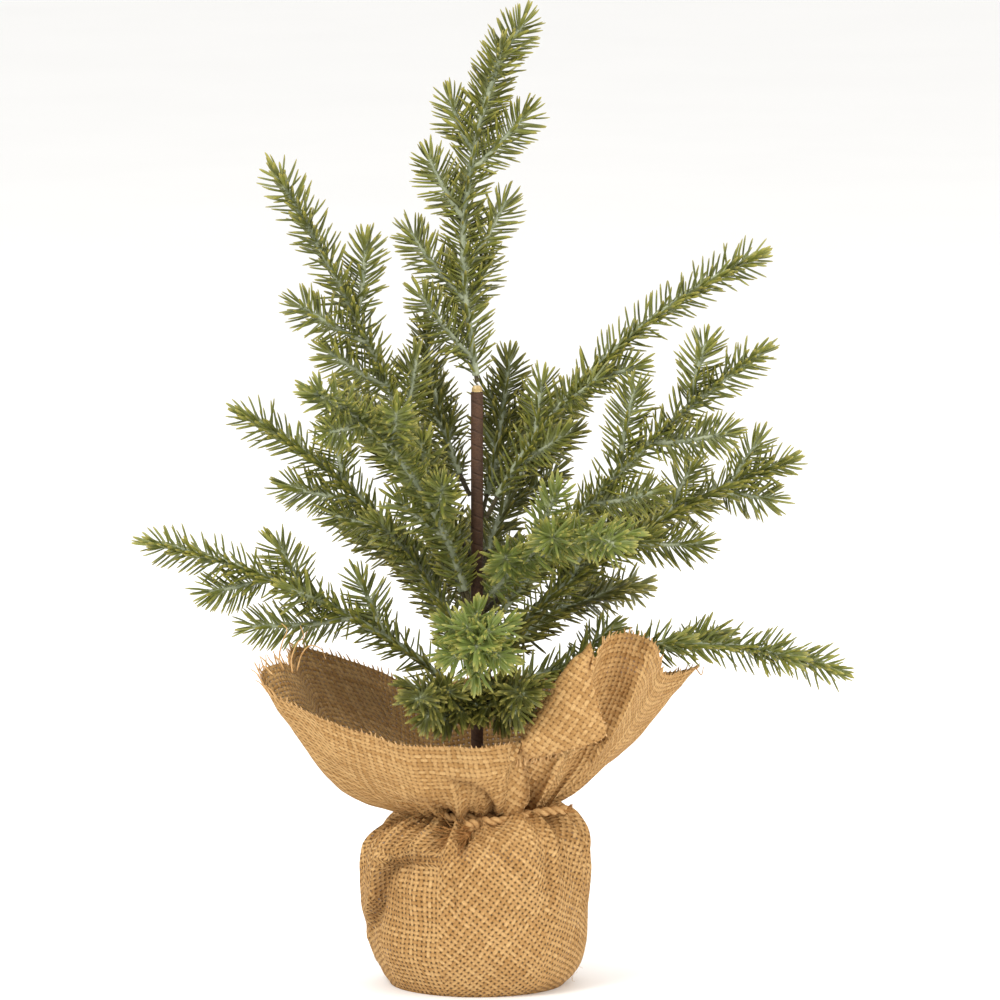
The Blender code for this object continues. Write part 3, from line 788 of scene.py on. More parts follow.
# %% Share the rim out to columns
def full_rim(points):
    """Every rim point with its turning place: on the straight way up where none is given."""
    rows = []
    turns = 0
    for x, y, up, azimuth, rise, *turned in points:
        azimuth += 360 * turns
        if rows and azimuth < rows[-1][3]:
            azimuth, turns = azimuth + 360, turns + 1
        out = TURN_AT**SKIRT_SPREAD
        foot = neck_radius * 1000 * (1 - out)
        straight = (foot * cos(radians(azimuth)) + x * out, foot * sin(radians(azimuth)) + y * out,
                    up * out**rise)
        rows.append((x, y, up, azimuth, rise, *(turned[0] if turned else straight),
                     float(bool(turned))))
    return np.array(rows)


def closed_curve(points, steps):
    """A smooth closed curve through points that hold any number of values."""
    last_turn = np.zeros(points.shape[1])
    last_turn[3] = 360
    looped = np.vstack([points[-1] - last_turn, points, points[:2] + last_turn])
    rows = []
    for a, b, c, d in zip(looped, looped[1:], looped[2:], looped[3:]):
        for step in range(steps):
            t = step / steps
            rows.append(0.5 * (
                2 * b + (c - a) * t + (2 * a - 5 * b + 4 * c - d) * t**2
                + (3 * b - a - 3 * c + d) * t**3
            ))
    return np.array(rows)


rim = closed_curve(full_rim(RIM), 16)
loop = np.vstack([rim, rim[:1]])
loop[-1, 3] += 360
edge_share = np.cumsum(np.hypot(*np.diff(loop[:, :2], axis=0).T))
edge_share = np.concatenate([[0], edge_share]) / edge_share[-1]
neck_share = (loop[:, 3] - loop[0, 3]) / 360
measure = (edge_share + neck_share) / 2
wanted = np.arange(COLUMNS) / COLUMNS
rim = np.array([np.interp(wanted, measure, column) for column in loop.T]).T
rim[:, [0, 1, 2, 5, 6, 7]] /= 1000
rim_length = np.linalg.norm(np.roll(rim[:, :3], -1, axis=0) - rim[:, :3], axis=1).sum()
print("rim:", round(rim_length * 1000), "mm round, in", COLUMNS, "columns")

# %% [markdown]
# Now the disc. `spin` turns a spoke of vertices into rings, and each vertex then remembers its
# ring and column. The rings are shared out by length, so that the faces stay nearly square.

# %% Rings of the cloth
FLOOR_RINGS, BAG_RINGS, NECK_RINGS, SKIRT_RINGS = 8, 62, 5, 60
RINGS = FLOOR_RINGS + BAG_RINGS + NECK_RINGS + SKIRT_RINGS


def along_line(line, shares):
    """Points at even lengths along a smooth curve through (radius, height) points."""
    path = smooth_path([(r, 0, z) for r, z in line], 8)
    reach = np.cumsum([0.0] + [(b - a).length for a, b in zip(path, path[1:])])
    wanted_reach = np.asarray(shares) * reach[-1]
    return (np.interp(wanted_reach, reach, [p.x for p in path]),
            np.interp(wanted_reach, reach, [p.z for p in path]))


bag_radii, bag_heights = along_line(BAG_LINE, np.arange(1, BAG_RINGS + 1) / BAG_RINGS)
neck_angles = np.radians(rim[:, 3])
outward_x, outward_y = np.cos(neck_angles), np.sin(neck_angles)
right_side = np.clip(np.cos(neck_angles + radians(10)), 0, 1)
left_side = np.clip(np.cos(neck_angles - radians(205)), 0, 1)
print("rings:", RINGS)

# %% [markdown]
# Floor, bag, neck and skirt each have their own rule. The bag is wider at its right shoulder
# and slimmer at its left one, because the cloth is drawn over to that side. The skirt runs from
# the neck to the rim along a curve that is steep or flat as its column's rise says.

# %% Where each ring goes
def rolled_places(share):
    """Where a ring of the skirt goes in the columns that turn over."""
    foot = np.array([neck_radius * outward_x, neck_radius * outward_y, 0 * outward_x]).T
    if share < TURN_AT:
        part = share / TURN_AT
        out = part**SKIRT_SPREAD
        place = foot * (1 - out) + rim[:, 5:8] * out
        place[:, 2] = rim[:, 7] * out ** rim[:, 4]
    else:
        part = (share - TURN_AT) / (1 - TURN_AT)
        place = rim[:, 5:8] * (1 - part) + rim[:, 0:3] * part
        place[:, 1] -= BULGE * sin(pi * part**0.7)
    return place + np.array([0, 0, neck_high])


def ring_places(ring):
    """Where the vertices of one ring go, column by column."""
    if ring <= FLOOR_RINGS:
        radius = np.full(COLUMNS, BAG_LINE[0][0] * ring / FLOOR_RINGS)
        height = np.zeros(COLUMNS)
    elif ring <= FLOOR_RINGS + BAG_RINGS:
        n = ring - FLOOR_RINGS - 1
        share = (n + 1) / BAG_RINGS
        top = max(0.0, 1 - abs(share - 0.84) / 0.16)
        foot = max(0.0, 1 - abs(share - 0.10) / 0.14)
        side = 0.09 * top * right_side - (0.17 * top + 0.05 * foot) * left_side
        radius = bag_radii[n] * (1 + side)
        height = bag_heights[n] + 0.0020 * top * right_side
    elif ring <= FLOOR_RINGS + BAG_RINGS + NECK_RINGS:
        radius = np.full(COLUMNS, neck_radius)
        share = (ring - FLOOR_RINGS - BAG_RINGS) / NECK_RINGS
        height = np.full(COLUMNS, neck_low + (neck_high - neck_low) * share)
    else:
        share = (ring - FLOOR_RINGS - BAG_RINGS - NECK_RINGS) / SKIRT_RINGS
        out = share**SKIRT_SPREAD
        x = neck_radius * outward_x * (1 - out) + rim[:, 0] * out
        y = neck_radius * outward_y * (1 - out) + rim[:, 1] * out
        straight = np.array([x, y, neck_high + rim[:, 2] * out ** rim[:, 4]]).T
        return straight + (rolled_places(share) - straight) * rim[:, 8:9]
    return np.array([radius * outward_x, radius * outward_y, height]).T


cloth = np.array([ring_places(ring) for ring in range(RINGS + 1)])
print("places:", cloth.shape[0], "by", cloth.shape[1])

# %% Spin the disc
work = bmesh.new()
spoke = [work.verts.new((ring / RINGS, 0, 0)) for ring in range(RINGS + 1)]
threads = [work.edges.new(pair) for pair in zip(spoke, spoke[1:])]
bmesh.ops.spin(work, geom=spoke + threads, cent=(0, 0, 0), axis=(0, 0, 1),
               angle=2 * pi, steps=COLUMNS, use_merge=True)
bmesh.ops.remove_doubles(work, verts=work.verts, dist=1e-6)
bmesh.ops.recalc_face_normals(work, faces=work.faces)
flat = np.array([vert.co[:] for vert in work.verts])
vert_ring = np.rint(np.hypot(flat[:, 0], flat[:, 1]) * RINGS).astype(int)
vert_column = np.rint(np.arctan2(flat[:, 1], flat[:, 0]) / (2 * pi) * COLUMNS).astype(int) % COLUMNS
print("cloth:", len(work.verts), "vertices in", RINGS, "rings")

# %% [markdown]
# ### Gathers and folds
#
# The tie crowds the cloth into sharp radial gathers that die away downwards and upwards. They are
# ridged noise, which has creases where plain noise is rounded. The few large folds are listed one
# by one: each is a line seen from the front, with the cloth on its left side lying over the cloth
# on its right side.

# %% Large folds
FOLDS = (  # points to the right and above the table in mm, rise, drop, width of each side in mm
    (((-49, 26), (-47.5, 35), (-45, 43), (-43.4, 50), (-41.5, 56), (-38.5, 59.5), (-34, 62),
      (-26, 64.5), (-18.5, 66)), 3.6, 5.4, 12, 8),  # the flap over the bag's left side
    (((-9, 70), (-11, 62), (-10, 50), (-8, 36)), 0.9, 0.9, 7, 5),
    (((26, 74), (31, 64), (34, 48), (35, 32)), 1.0, 1.0, 8, 6),
    (((8, 74), (12, 66), (20, 58), (25, 46)), 0.9, 1.0, 6, 5),
    (((-35, 92), (-21.5, 91.5), (-10, 85), (-3, 78.5), (1.5, 75)), 3.0, 3.6, 9, 6),
    (((-14, 103), (-3, 101), (4, 96.5), (8, 89), (8, 80)), 2.2, 3.0, 7, 5),
    (((23, 86), (22.5, 95), (21.5, 106), (20, 121)), 1.8, 3.2, 9, 6),  # the front's right edge
    (((62, 115), (41, 113), (22, 111)), 1.6, 2.6, 8, 5),  # the lower cloth's edge on the right
)


def beside(points, line):
    """Signed distance from a line, positive on its left, and how near its ends each point is."""
    nearest = np.full(len(points), 1e9)
    side = np.zeros(len(points))
    share = np.zeros(len(points))
    for n, (a, b) in enumerate(zip(line, line[1:])):
        run = b - a
        t = np.clip((points - a) @ run / (run @ run), 0, 1)
        gap = points - (a + t[:, None] * run)
        far = np.hypot(*gap.T)
        closer = far < nearest
        nearest = np.where(closer, far, nearest)
        side = np.where(closer, np.sign(run[0] * gap[:, 1] - run[1] * gap[:, 0]), side)
        share = np.where(closer, (n + t) / (len(line) - 1), share)
    return nearest * side, np.minimum(1, np.minimum(share, 1 - share) * 6 + 0.15)


def lift(points):
    """How far the listed folds move each point of the front out or in."""
    moved = np.zeros(len(points))
    for line, rise, drop, broad, narrow in FOLDS:
        d, ends = beside(points[:, [0, 2]], np.array(line) / 1000)
        over = rise / 1000 * np.exp(-np.maximum(d, 0) * 1000 / broad)
        under = -drop / 1000 * np.exp(np.minimum(d, 0) * 1000 / narrow)
        blend = np.clip(d / 0.0010 + 0.5, 0, 1)
        moved += (over * blend + under * (1 - blend)) * ends
    return moved * (points[:, 1] < 0.0)


def crease_shadows(points):
    """How deep in the shadow of a listed fold each point of the front lies, from 0 to 1."""
    depth = np.zeros(len(points))
    for line, rise, drop, broad, narrow in FOLDS:
        d, ends = beside(points[:, [0, 2]], np.array(line) / 1000)
        shadow = np.exp(-np.abs(d + 0.0006) * 1000 / (0.5 * drop)) * min(1, drop / 4)
        depth = np.maximum(depth, shadow * ends)
    return depth * (points[:, 1] < 0)


print("hand-placed folds:", len(FOLDS))

# %% Gathers at the tie
GATHER = 0.0056
TIED = 0.28  # how much of the gathers is left under the tie

neck_start = FLOOR_RINGS + BAG_RINGS
ring_numbers = np.arange(RINGS + 1)
below = np.clip((ring_numbers - FLOOR_RINGS) / BAG_RINGS, 0, 1)
above = np.clip((ring_numbers - neck_start - NECK_RINGS) / SKIRT_RINGS, 0, 1)
gather_size = GATHER * np.clip((below - 0.30) / 0.58, 0, 1) ** 1.5 * (1 - above) ** 2.2
gather_size[neck_start - 3:neck_start + NECK_RINGS + 3] *= TIED
across = np.roll(cloth, -1, axis=1) - np.roll(cloth, 1, axis=1)
upward = np.gradient(cloth, axis=0)
normals = np.cross(across, upward)
normals[FLOOR_RINGS] += np.array([0, 0, -1e-9])
normals /= np.maximum(np.linalg.norm(normals, axis=2), 1e-12)[:, :, None]


def ridged(place):
    return 1 - 2.6 * abs(noise.noise(place))


for ring in range(FLOOR_RINGS + 1, RINGS + 1):
    gathers = np.array([
        ridged(Vector((3.1 * cos(a), 3.1 * sin(a), 4 + 0.4 * below[ring] + 0.5 * above[ring])))
        + 0.5 * ridged(Vector((7.3 * cos(a), 7.3 * sin(a), 9))) for a in neck_angles])
    near_neck = min(1.0, 0.25 + abs(ring - neck_start - 2) / 14)
    waves = np.array([
        noise.noise(Vector(point) * 42) * 0.0011 + noise.noise(Vector(point) * 130) * 0.00045
        for point in cloth[ring]])
    fade = min(1.0, (ring - FLOOR_RINGS) / 8)
    cloth[ring] += normals[ring] * (
        gather_size[ring] * gathers + fade * (waves + near_neck * lift(cloth[ring])))[:, None]
# painted shade: how far each point is darkened in the shadow of the large folds
painted_crease_shade = np.array([crease_shadows(row) for row in cloth])
for vert, ring, column in zip(work.verts, vert_ring, vert_column):
    vert.co = cloth[ring, column]
lowest = min(vert.co.z for vert in work.verts)
print("gathers up to", round(gather_size.max() * 1000, 1), "mm, lowest", round(lowest * 1000, 2))

# %% [markdown]
# ### Which way the yarns run
#
# A weave needs flat cloth coordinates. Wrapped cloth can't keep one grid: it turns from square
# to slanting round the bag, and breaks at the folds. So the cloth is shared into panels between
# folds. In each, one coordinate is the real length along the ring and the other the real length
# up the column, in metres, which keeps the yarns evenly spaced. The skirt counts from its raw
# edge, because such an edge runs along a yarn.

# %% Cloth coordinates
BAG_PANELS = ((-152, 2), (-111, 38), (-52, 24), (8, -8), (75, 30), (140, -20))  # azimuth, turn
SKIRT_PANELS = (-155, -62, -16, 4, 32, 76, 121, 166)  # neck azimuths where panels start
ROLL_ALONG = Vector((28, 5, 41)).normalized()  # the rolled corner's folded edge
ROLL_ACROSS = Vector((41, 0, -28)).normalized()


def panel_of(azimuths, starts):
    """The panel that each azimuth falls in, and the last one where it's before the first."""
    azimuths = (azimuths - starts[0]) % 360
    edges = (np.array(starts) - starts[0]) % 360
    return np.searchsorted(edges, azimuths, side="right") - 1


ring_lengths = np.linalg.norm(np.roll(cloth, -1, axis=1) - cloth, axis=2)
round_ring = np.concatenate([np.zeros((RINGS + 1, 1)), np.cumsum(ring_lengths, axis=1)], axis=1)
up_column = np.cumsum(np.linalg.norm(np.diff(cloth, axis=0), axis=2), axis=0)
up_column = np.concatenate([np.zeros((1, COLUMNS)), up_column])
bag_panel = panel_of(rim[:, 3], [start for start, turn in BAG_PANELS])
skirt_panel = panel_of(rim[:, 3], SKIRT_PANELS)
print("panels:", len(BAG_PANELS), "in the bag and", len(SKIRT_PANELS), "in the skirt")

# %% Lay the coordinates on the cloth
def panel_middles(panels):
    """The middle column of each panel, as every column of that panel sees it."""
    middles = np.zeros(COLUMNS)
    for panel in np.unique(panels):
        members = np.flatnonzero(panels == panel)
        if members[-1] - members[0] > len(members) + 40:
            members = np.where(members < COLUMNS / 2, members + COLUMNS, members)
        middles[panels == panel] = members.mean()
    return middles


def cloth_uv(ring, column, panel_column, skirt):
    """Flat cloth coordinates of one corner of a face."""
    if skirt and rim[panel_column, 8] > 0.5:
        place = cloth[ring, column]
        return place @ ROLL_ALONG + 2.1, place @ ROLL_ACROSS
    middle = (skirt_middles if skirt else bag_middles)[panel_column]
    total = max(round_ring[ring, COLUMNS], 1e-9)
    here = round_ring[ring, column]
    turns, rest = divmod(middle, COLUMNS)
    there = np.interp(rest, np.arange(COLUMNS + 1), round_ring[ring])
    u = (here - there + total / 2) % total - total / 2
    if skirt:
        from_edge = up_column[RINGS, column] - up_column[ring, column]
        return u + 0.31 * skirt_panel[panel_column], from_edge
    v = up_column[ring, column] - 0.08
    turn = radians(BAG_PANELS[bag_panel[panel_column]][1])
    return (u * cos(turn) - v * sin(turn) + 0.17 * bag_panel[panel_column],
            u * sin(turn) + v * cos(turn) + 0.6)


bag_middles, skirt_middles = panel_middles(bag_panel), panel_middles(skirt_panel)
uv_layer = work.loops.layers.uv.new("cloth")
for face in work.faces:
    rings = [vert_ring[loop.vert.index] for loop in face.loops]
    columns = [vert_column[loop.vert.index] for loop in face.loops]
    spread = [column for column, ring in zip(columns, rings) if ring > 0]
    first = min(spread)
    if max(spread) - first > COLUMNS / 2:
        first = max(spread)
    in_skirt = min(rings) >= neck_start
    for loop, ring, column in zip(face.loops, rings, columns):
        loop[uv_layer].uv = cloth_uv(ring, column, first, in_skirt)
print("cloth coordinates:", len(work.faces), "faces")

# %% [markdown]
# ### Weave
#
# Plain weave: yarns of two directions pass over and under each other by turns, like a draught
# board. The finish works out for each point how far it is from the middle of its two nearest yarns,
# which of them is on top, and whether it lies in a hole, which is partly see-through and partly
# filled with loose fibres. Every yarn gets its own width and tone, and swells and thins along its
# length as jute does. Shade is painted into the low parts: the yarns' edges, where they pass under,
# and the holes.

# %% Weave finish
PITCH = 0.00235  # from one yarn to the next
YARN_HALF = 0.335  # half a yarn's width, in pitches
HOLE_FUZZ = 0.62  # how much of a hole is filled by loose fibres
YARN_LIGHT = paint(216, 178, 123)
YARN_MID = paint(195, 154, 100)
YARN_DARK = paint(168, 126, 74)
# painted shade: the dark brown laid into the weave's low parts and the folds' shadows
YARN_SHADE = paint(104, 68, 34)


def strayed(made, spot):
    """Cloth coordinates that drift a little, so that no yarn runs dead straight."""
    drift = made.node("ShaderNodeTexNoise", {"Vector": spot, "Scale": 0.14, "Detail": 3.0})
    swing = made.node("ShaderNodeVectorMath", {0: drift.outputs["Color"], 1: (0.5, 0.5, 0.5)},
                      operation="SUBTRACT")
    swing = made.node("ShaderNodeVectorMath", {0: swing.outputs[0], "Scale": 1.3},
                      operation="SCALE")
    return made.node("ShaderNodeVectorMath", {0: spot, 1: swing.outputs[0]},
                     operation="ADD").outputs[0]


def yarn(made, seed, number, run, off, off_other, over):
    """Whether a point is on a yarn, how high it is there, and the yarn's shade."""
    line = made.node("ShaderNodeCombineXYZ", {
        "X": made.calc("MULTIPLY", number, 7.31), "Y": made.calc("MULTIPLY", run, 0.42), "Z": seed})
    slub = made.noise(line.outputs[0], 1.0, 2.0, 0.6)
    width = made.calc("MULTIPLY_ADD", slub, 0.22, YARN_HALF - 0.11)
    width = made.calc("MULTIPLY_ADD", made.value("tight"), 0.078, width)
    ratio = made.calc("DIVIDE", made.calc("ABSOLUTE", off), width)
    cover = made.calc("LESS_THAN", ratio, 1.0)
    dome = made.calc("SUBTRACT", 1.0, made.calc("MULTIPLY", ratio, ratio))
    dome = made.calc("SQRT", made.calc("MAXIMUM", dome, 0.0))
    wave = made.calc("MULTIPLY", made.calc("COSINE", made.calc("MULTIPLY", off_other, pi)), over)
    height = made.calc("MULTIPLY_ADD", wave, 0.45, dome)
    height = made.calc("MULTIPLY_ADD", made.calc("SUBTRACT", cover, 1.0), 4.0, height)
    dye = made.node("ShaderNodeTexWhiteNoise", {"W": number}, noise_dimensions="1D")
    dyed = made.calc("MULTIPLY", dye.outputs["Value"], 0.3)
    return cover, height, made.calc("MULTIPLY_ADD", slub, 0.5, dyed)


def weave_finish(name):
    """Open plain weave of jute, in pitches of the cloth coordinates."""
    made = Finish(name, 0.92)
    spot = strayed(made, made.stretch(made.map("cloth"), (1 / PITCH, 1 / PITCH, 1)))
    parts = made.node("ShaderNodeSeparateXYZ", {0: spot})
    u, v = parts.outputs["X"], parts.outputs["Y"]
    row, column = made.calc("FLOOR", u), made.calc("FLOOR", v)
    off_u = made.calc("SUBTRACT", made.calc("FRACT", u), 0.5)
    off_v = made.calc("SUBTRACT", made.calc("FRACT", v), 0.5)
    odd = made.calc("PINGPONG", made.calc("ADD", row, column), 1.0)
    over = made.calc("MULTIPLY_ADD", odd, -2.0, 1.0)
    under = made.calc("MULTIPLY", over, -1.0)
    first, first_height, first_shade = yarn(made, 3.0, row, v, off_u, off_v, over)
    second, second_height, second_shade = yarn(made, 4.0, column, u, off_v, off_u, under)
    top = made.calc("MAXIMUM", first_height, second_height)
    first_on_top = made.calc("GREATER_THAN", first_height, second_height)
    shade = made.node("ShaderNodeMix", {
        "Factor": first_on_top, "A": second_shade, "B": first_shade}, data_type="FLOAT").outputs[0]
    streak = made.noise(spot, 6.0, 3.0, 0.7)
    shade = made.calc("MULTIPLY_ADD", made.calc("SUBTRACT", streak, 0.5), 0.9, shade)
    colour = made.ramp(shade, (0.22, YARN_DARK), (0.46, YARN_MID), (0.78, YARN_LIGHT))
    # painted shade: the weave is darkened towards YARN_SHADE where it lies low, at the yarns'
    # edges, where they pass under and in the fibre-filled holes
    crevice_shade = made.ramp(top, (0.15, 0.62), (1.0, 0.0))
    colour = made.mix(crevice_shade, colour, YARN_SHADE)
    # painted shade: the cloth is darkened further in the shadow of the large folds
    made.colour(made.mix(made.calc("MULTIPLY", made.value("crease_shade"), 0.7), colour, YARN_SHADE))
    fuzz = made.calc("MULTIPLY_ADD", made.value("tight"), 0.36, HOLE_FUZZ)
    covered = made.calc("MAXIMUM", first, second)
    made.feed(made.shader.inputs["Alpha"], made.calc("MAXIMUM", covered, fuzz))
    relief = made.calc("MULTIPLY_ADD", streak, 0.5, made.calc("MAXIMUM", top, -0.4))
    made.bump(relief, 1.0, PITCH * 0.28)
    made.shader.inputs["Specular IOR Level"].default_value = 0.15
    return made


print("weave pitch:", PITCH * 1000, "mm")

# %% [markdown]
# The skirt's cloth is denser than the bag's, which is stretched over the pot, so a number `tight`
# on the vertices makes its yarns wider. Another, `crease_shade`, paints shade into the cloth in the
# shadow of the large folds.

# %% Dress the cloth
burlap_finish = weave_finish("burlap_weave")
wrap = finished(work, "burlap_cloth", "base", [burlap_finish],
                stands_for=["burlap_wrap"], recalc=False)
in_front = (rim[vert_column, 3] < -12) | (rim[vert_column, 3] > 200)
skirt_tight = np.where(in_front, 1.0, 0.7)
gathered_tight = np.clip((below[vert_ring] - 0.72) / 0.15, 0, 0.75)
mark(wrap.data, "tight", np.where(vert_ring > neck_start, skirt_tight, gathered_tight))
mark(wrap.data, "crease_shade", painted_crease_shade[vert_ring, vert_column])
area = sum(face.area for face in wrap.data.polygons)
print("cloth area:", round(area, 4), "square metres,", len(wrap.data.polygons), "faces")

# %% [markdown]
# ### Raw edge
#
# The square is cut, not hemmed, so its edge frays. Each cut yarn ends in a short tapering tuft
# that goes on in the cloth's own direction and wanders a little. The left corner has lost its
# crossing yarns, so its tufts are long. These are real tubes, because a picture of threads on a
# flat strip would have a straight outline.

# %% Yarn ends
YARN_RADIUS = 0.00055
FRAY_SPACE = 0.0019  # along the rim, from one yarn end to the next
FRAYS = (  # neck azimuth where a stretch starts, shortest and longest yarn end in mm
    (-110, 0.8, 2.4), (-62, 1.0, 2.6), (-28, 1.5, 4.5), (-2, 1.2, 3.0), (22, 1.5, 4.0),
    (45, 1.0, 3.0), (100, 1.5, 4.5), (140, 2.5, 7.0), (172, 4.0, 9.5), (197, 1.2, 3.2),
)


def jute_finish(name, light, dark):
    """Loose jute: streaks along a thread, from the piece's own coordinates."""
    made = Finish(name, 0.9)
    broad = made.noise(made.place(), 260.0, 3.0, 0.6)
    fine = made.noise(made.stretch(made.place(), (2600, 2600, 900)), 1.0, 2.0)
    made.colour(made.ramp(made.calc("MULTIPLY_ADD", fine, 0.35, broad), (0.45, dark), (0.9, light)))
    made.bump(fine, 0.5, 0.0003)
    made.shader.inputs["Specular IOR Level"].default_value = 0.15
    return made


def wander(start, heading, length, steps, swing, draw):
    """A path that goes on in one direction but strays from it."""
    path = [Vector(start)]
    heading = Vector(heading).normalized()
    for n in range(steps):
        stray = Vector([draw.gauss(0, swing) for axis in range(3)])
        heading = (heading + stray).normalized()
        path.append(path[-1] + heading * (length / steps))
    return path


def tapered(start, end, steps):
    return [start + (end - start) * n / steps for n in range(steps + 1)]


print("helpers: jute_finish, wander, tapered")

# %% Fray the rim
fringe_finish = jute_finish("frayed_yarn", paint(214, 176, 124), paint(168, 124, 74))
draw = Random(21)
work = bmesh.new()
rim_points = [Vector(point) for point in cloth[RINGS]]
travelled, ends = 0.0, 0
for column in range(COLUMNS):
    travelled += (rim_points[column] - rim_points[column - 1]).length
    if travelled < FRAY_SPACE:
        continue
    travelled = 0.0
    stretch = panel_of(rim[column:column + 1, 3], [start for start, low, high in FRAYS])[0]
    start, shortest, longest = FRAYS[stretch]
    outward = rim_points[column] - Vector(cloth[RINGS - 4, column])
    length = draw.uniform(shortest, longest) / 1000
    foot = rim_points[column] - outward.normalized() * 0.0006
    path = wander(foot, outward, length, 4, 0.16, draw)
    sweep(work, path, tapered(YARN_RADIUS * draw.uniform(0.7, 1.1), YARN_RADIUS * 0.3, 4), 5)
    ends += 1
print("yarn ends along the rim:", ends)

# %% [markdown]
# Under the rolled corner the lower cloth's cut edge crosses the front of the skirt. Its yarn
# ends stand upright side by side. At the left corner a few long yarns have come loose and curl
# up, and the whole cloth has a sparse fuzz of fibres.

# %% Upright ends along the lower cloth's edge
EDGE_HEIGHT = 0.1085  # the lower cloth's edge, above the table
EDGE_YARN = 0.0058
EDGE_FROM, EDGE_TO = -62, -24  # between these neck azimuths
EDGE_GAPS = 0.45  # the share of columns without a yarn end
for column in range(COLUMNS):
    azimuth = (rim[column, 3] + 180) % 360 - 180
    if not EDGE_FROM < azimuth < EDGE_TO or draw.random() < EDGE_GAPS:
        continue
    rising = cloth[neck_start + NECK_RINGS + 1:neck_start + NECK_RINGS + 40, column]
    ring = int(np.argmax(rising[:, 2] > EDGE_HEIGHT)) + neck_start + NECK_RINGS + 1
    here, later = Vector(cloth[ring, column]), Vector(cloth[ring + 6, column])
    out = Vector(normals[ring, column])
    out *= -1 if out.y > 0 else 1
    path = wander(here + out * 0.0008, later - here + out * 0.001,
                  EDGE_YARN * draw.uniform(0.7, 1.2), 4, 0.08, draw)
    sweep(work, path, tapered(YARN_RADIUS * 1.1, YARN_RADIUS * 0.4, 4), 5)
fringe = finished(work, "burlap_fringe", "base", [fringe_finish])
print("fringe:", len(fringe.data.polygons), "faces")

# %% Loose threads and fuzz
FUZZ_HAIRS = 420
LOOSE_THREADS = (  # to the right, to the back and above the table, in mm
    ((-88, -26, 149), (-90, -26, 155), (-88.5, -25, 162), (-86.5, -24, 167), (-89, -23, 170)),
    ((-84, -28, 148), (-84.5, -26, 154), (-82, -25, 161), (-79, -24, 164), (-80.5, -23, 169)),
    ((-82, -22, 148), (-80, -20, 155), (-76, -18, 159), (-71, -17, 157), (-69, -16, 152)),
    ((-93, -28, 147), (-97, -28, 151), (-99, -27, 149), (-101, -26, 152)),
    ((-78, 26, 150), (-79, 25, 157), (-76, 24, 162), (-72, 24, 159)),
    ((96, 20, 141), (100, 18, 143), (103, 17, 140), (104, 15, 144)),
)
work = bmesh.new()
for route in LOOSE_THREADS:
    path = smooth_path([Vector(point) / 1000 for point in route], 6)
    sweep(work, path, tapered(0.00042, 0.00018, len(path) - 1), 6)
for n in range(FUZZ_HAIRS):
    ring = draw.randrange(FLOOR_RINGS + 4, RINGS)
    column = draw.randrange(COLUMNS)
    out = Vector(normals[ring, column])
    out *= 1 if out.dot(Vector((cloth[ring, column, 0], cloth[ring, column, 1], 0))) > 0 else -1
    drift = Vector([draw.gauss(0, 0.9) for axis in range(3)])
    path = wander(cloth[ring, column], out + drift, draw.uniform(0.0020, 0.0048), 4, 0.4, draw)
    sweep(work, path, tapered(0.00009, 0.00005, 4), 3)
loose = finished(work, "burlap_loose_yarns", "base", [fringe_finish])
print("loose threads:", len(LOOSE_THREADS), "and", FUZZ_HAIRS, "hairs of fuzz")

# %% [markdown]
# The cloth, its fringe and its loose yarns are three pieces that ride on the base. The square of
# cloth was cut to reach under the pot, up its side, through the neck and out to the corners.

# %% [markdown]
# ## Jute twine
#
# The twine is two plies twisted together. Each ply is its own tube, wound round the twine's
# line: the twist is what makes it read as twine. Its turn round the neck, its knot, and its free
# end are three pieces, as in the frame.

# %% Twist plies round a line
PLY_PLACE, PLY_THICK = 0.52, 0.62  # of the twine's radius
TWIST_LENGTH = 0.0085  # one full twist
TWINE_STEP = 0.0008
TWINE_REACH = (band_high.y - band_low.y) / 2 - TWINE / 2


def evenly(path, step):
    """The same path with points at even steps."""
    reach = np.cumsum([0.0] + [(b - a).length for a, b in zip(path, path[1:])])
    count = max(4, int(reach[-1] / step))
    wanted_reach = np.linspace(0, reach[-1], count + 1)
    columns = [np.interp(wanted_reach, reach, [point[k] for point in path]) for k in range(3)]
    return [Vector(point) for point in zip(*columns)]


def twine(work, path, radius, plies=2):
    """Plies wound round a path."""
    path = evenly(path, TWINE_STEP)
    frames = frames_along(path)
    for ply in range(plies):
        strand = []
        for n, frame_here in enumerate(frames):
            angle = 2 * pi * (n * TWINE_STEP / TWIST_LENGTH + ply / plies)
            strand.append(frame_here @ (Vector((cos(angle), sin(angle), 0)) * radius * PLY_PLACE))
        sweep(work, strand, [radius * PLY_THICK] * len(strand), 8)


def fray(work, start, heading, count, length, spread, draw):
    """Loose fibres at the cut end of a twine."""
    for n in range(count):
        stray = Vector([draw.gauss(0, spread) for axis in range(3)])
        path = wander(start, Vector(heading).normalized() + stray,
                      length * draw.uniform(0.6, 1.15), 5, 0.16, draw)
        sweep(work, path, tapered(0.00034, 0.00014, 5), 4)


print("helpers: evenly, twine, fray")

# %% Turn round the neck
twine_finish = jute_finish("twisted_jute", paint(212, 172, 116), paint(158, 116, 70))
tuft_finish = jute_finish("frayed_twine", paint(190, 142, 84), paint(122, 80, 42))

work = bmesh.new()
ring_path = []
for n in range(97):
    angle = 2 * pi * n / 96 - pi / 2
    ring_path.append(Vector((TWINE_REACH * cos(angle), TWINE_REACH * sin(angle),
                             neck_middle + 0.0006 * sin(3 * angle))))
twine(work, ring_path, TWINE / 2)
finished(work, "twine_turn", "base", [twine_finish], stands_for=["twine_band"])
print("turn of twine:", round(2 * pi * TWINE_REACH * 1000), "mm round")

# %% [markdown]
# An overhand knot that is pulled tight is nearly a trefoil, the simplest closed knot, which a
# short formula draws. Two strands lead out of it: one under the cloth on the left, the other
# along the turn on the right, where the free end starts.

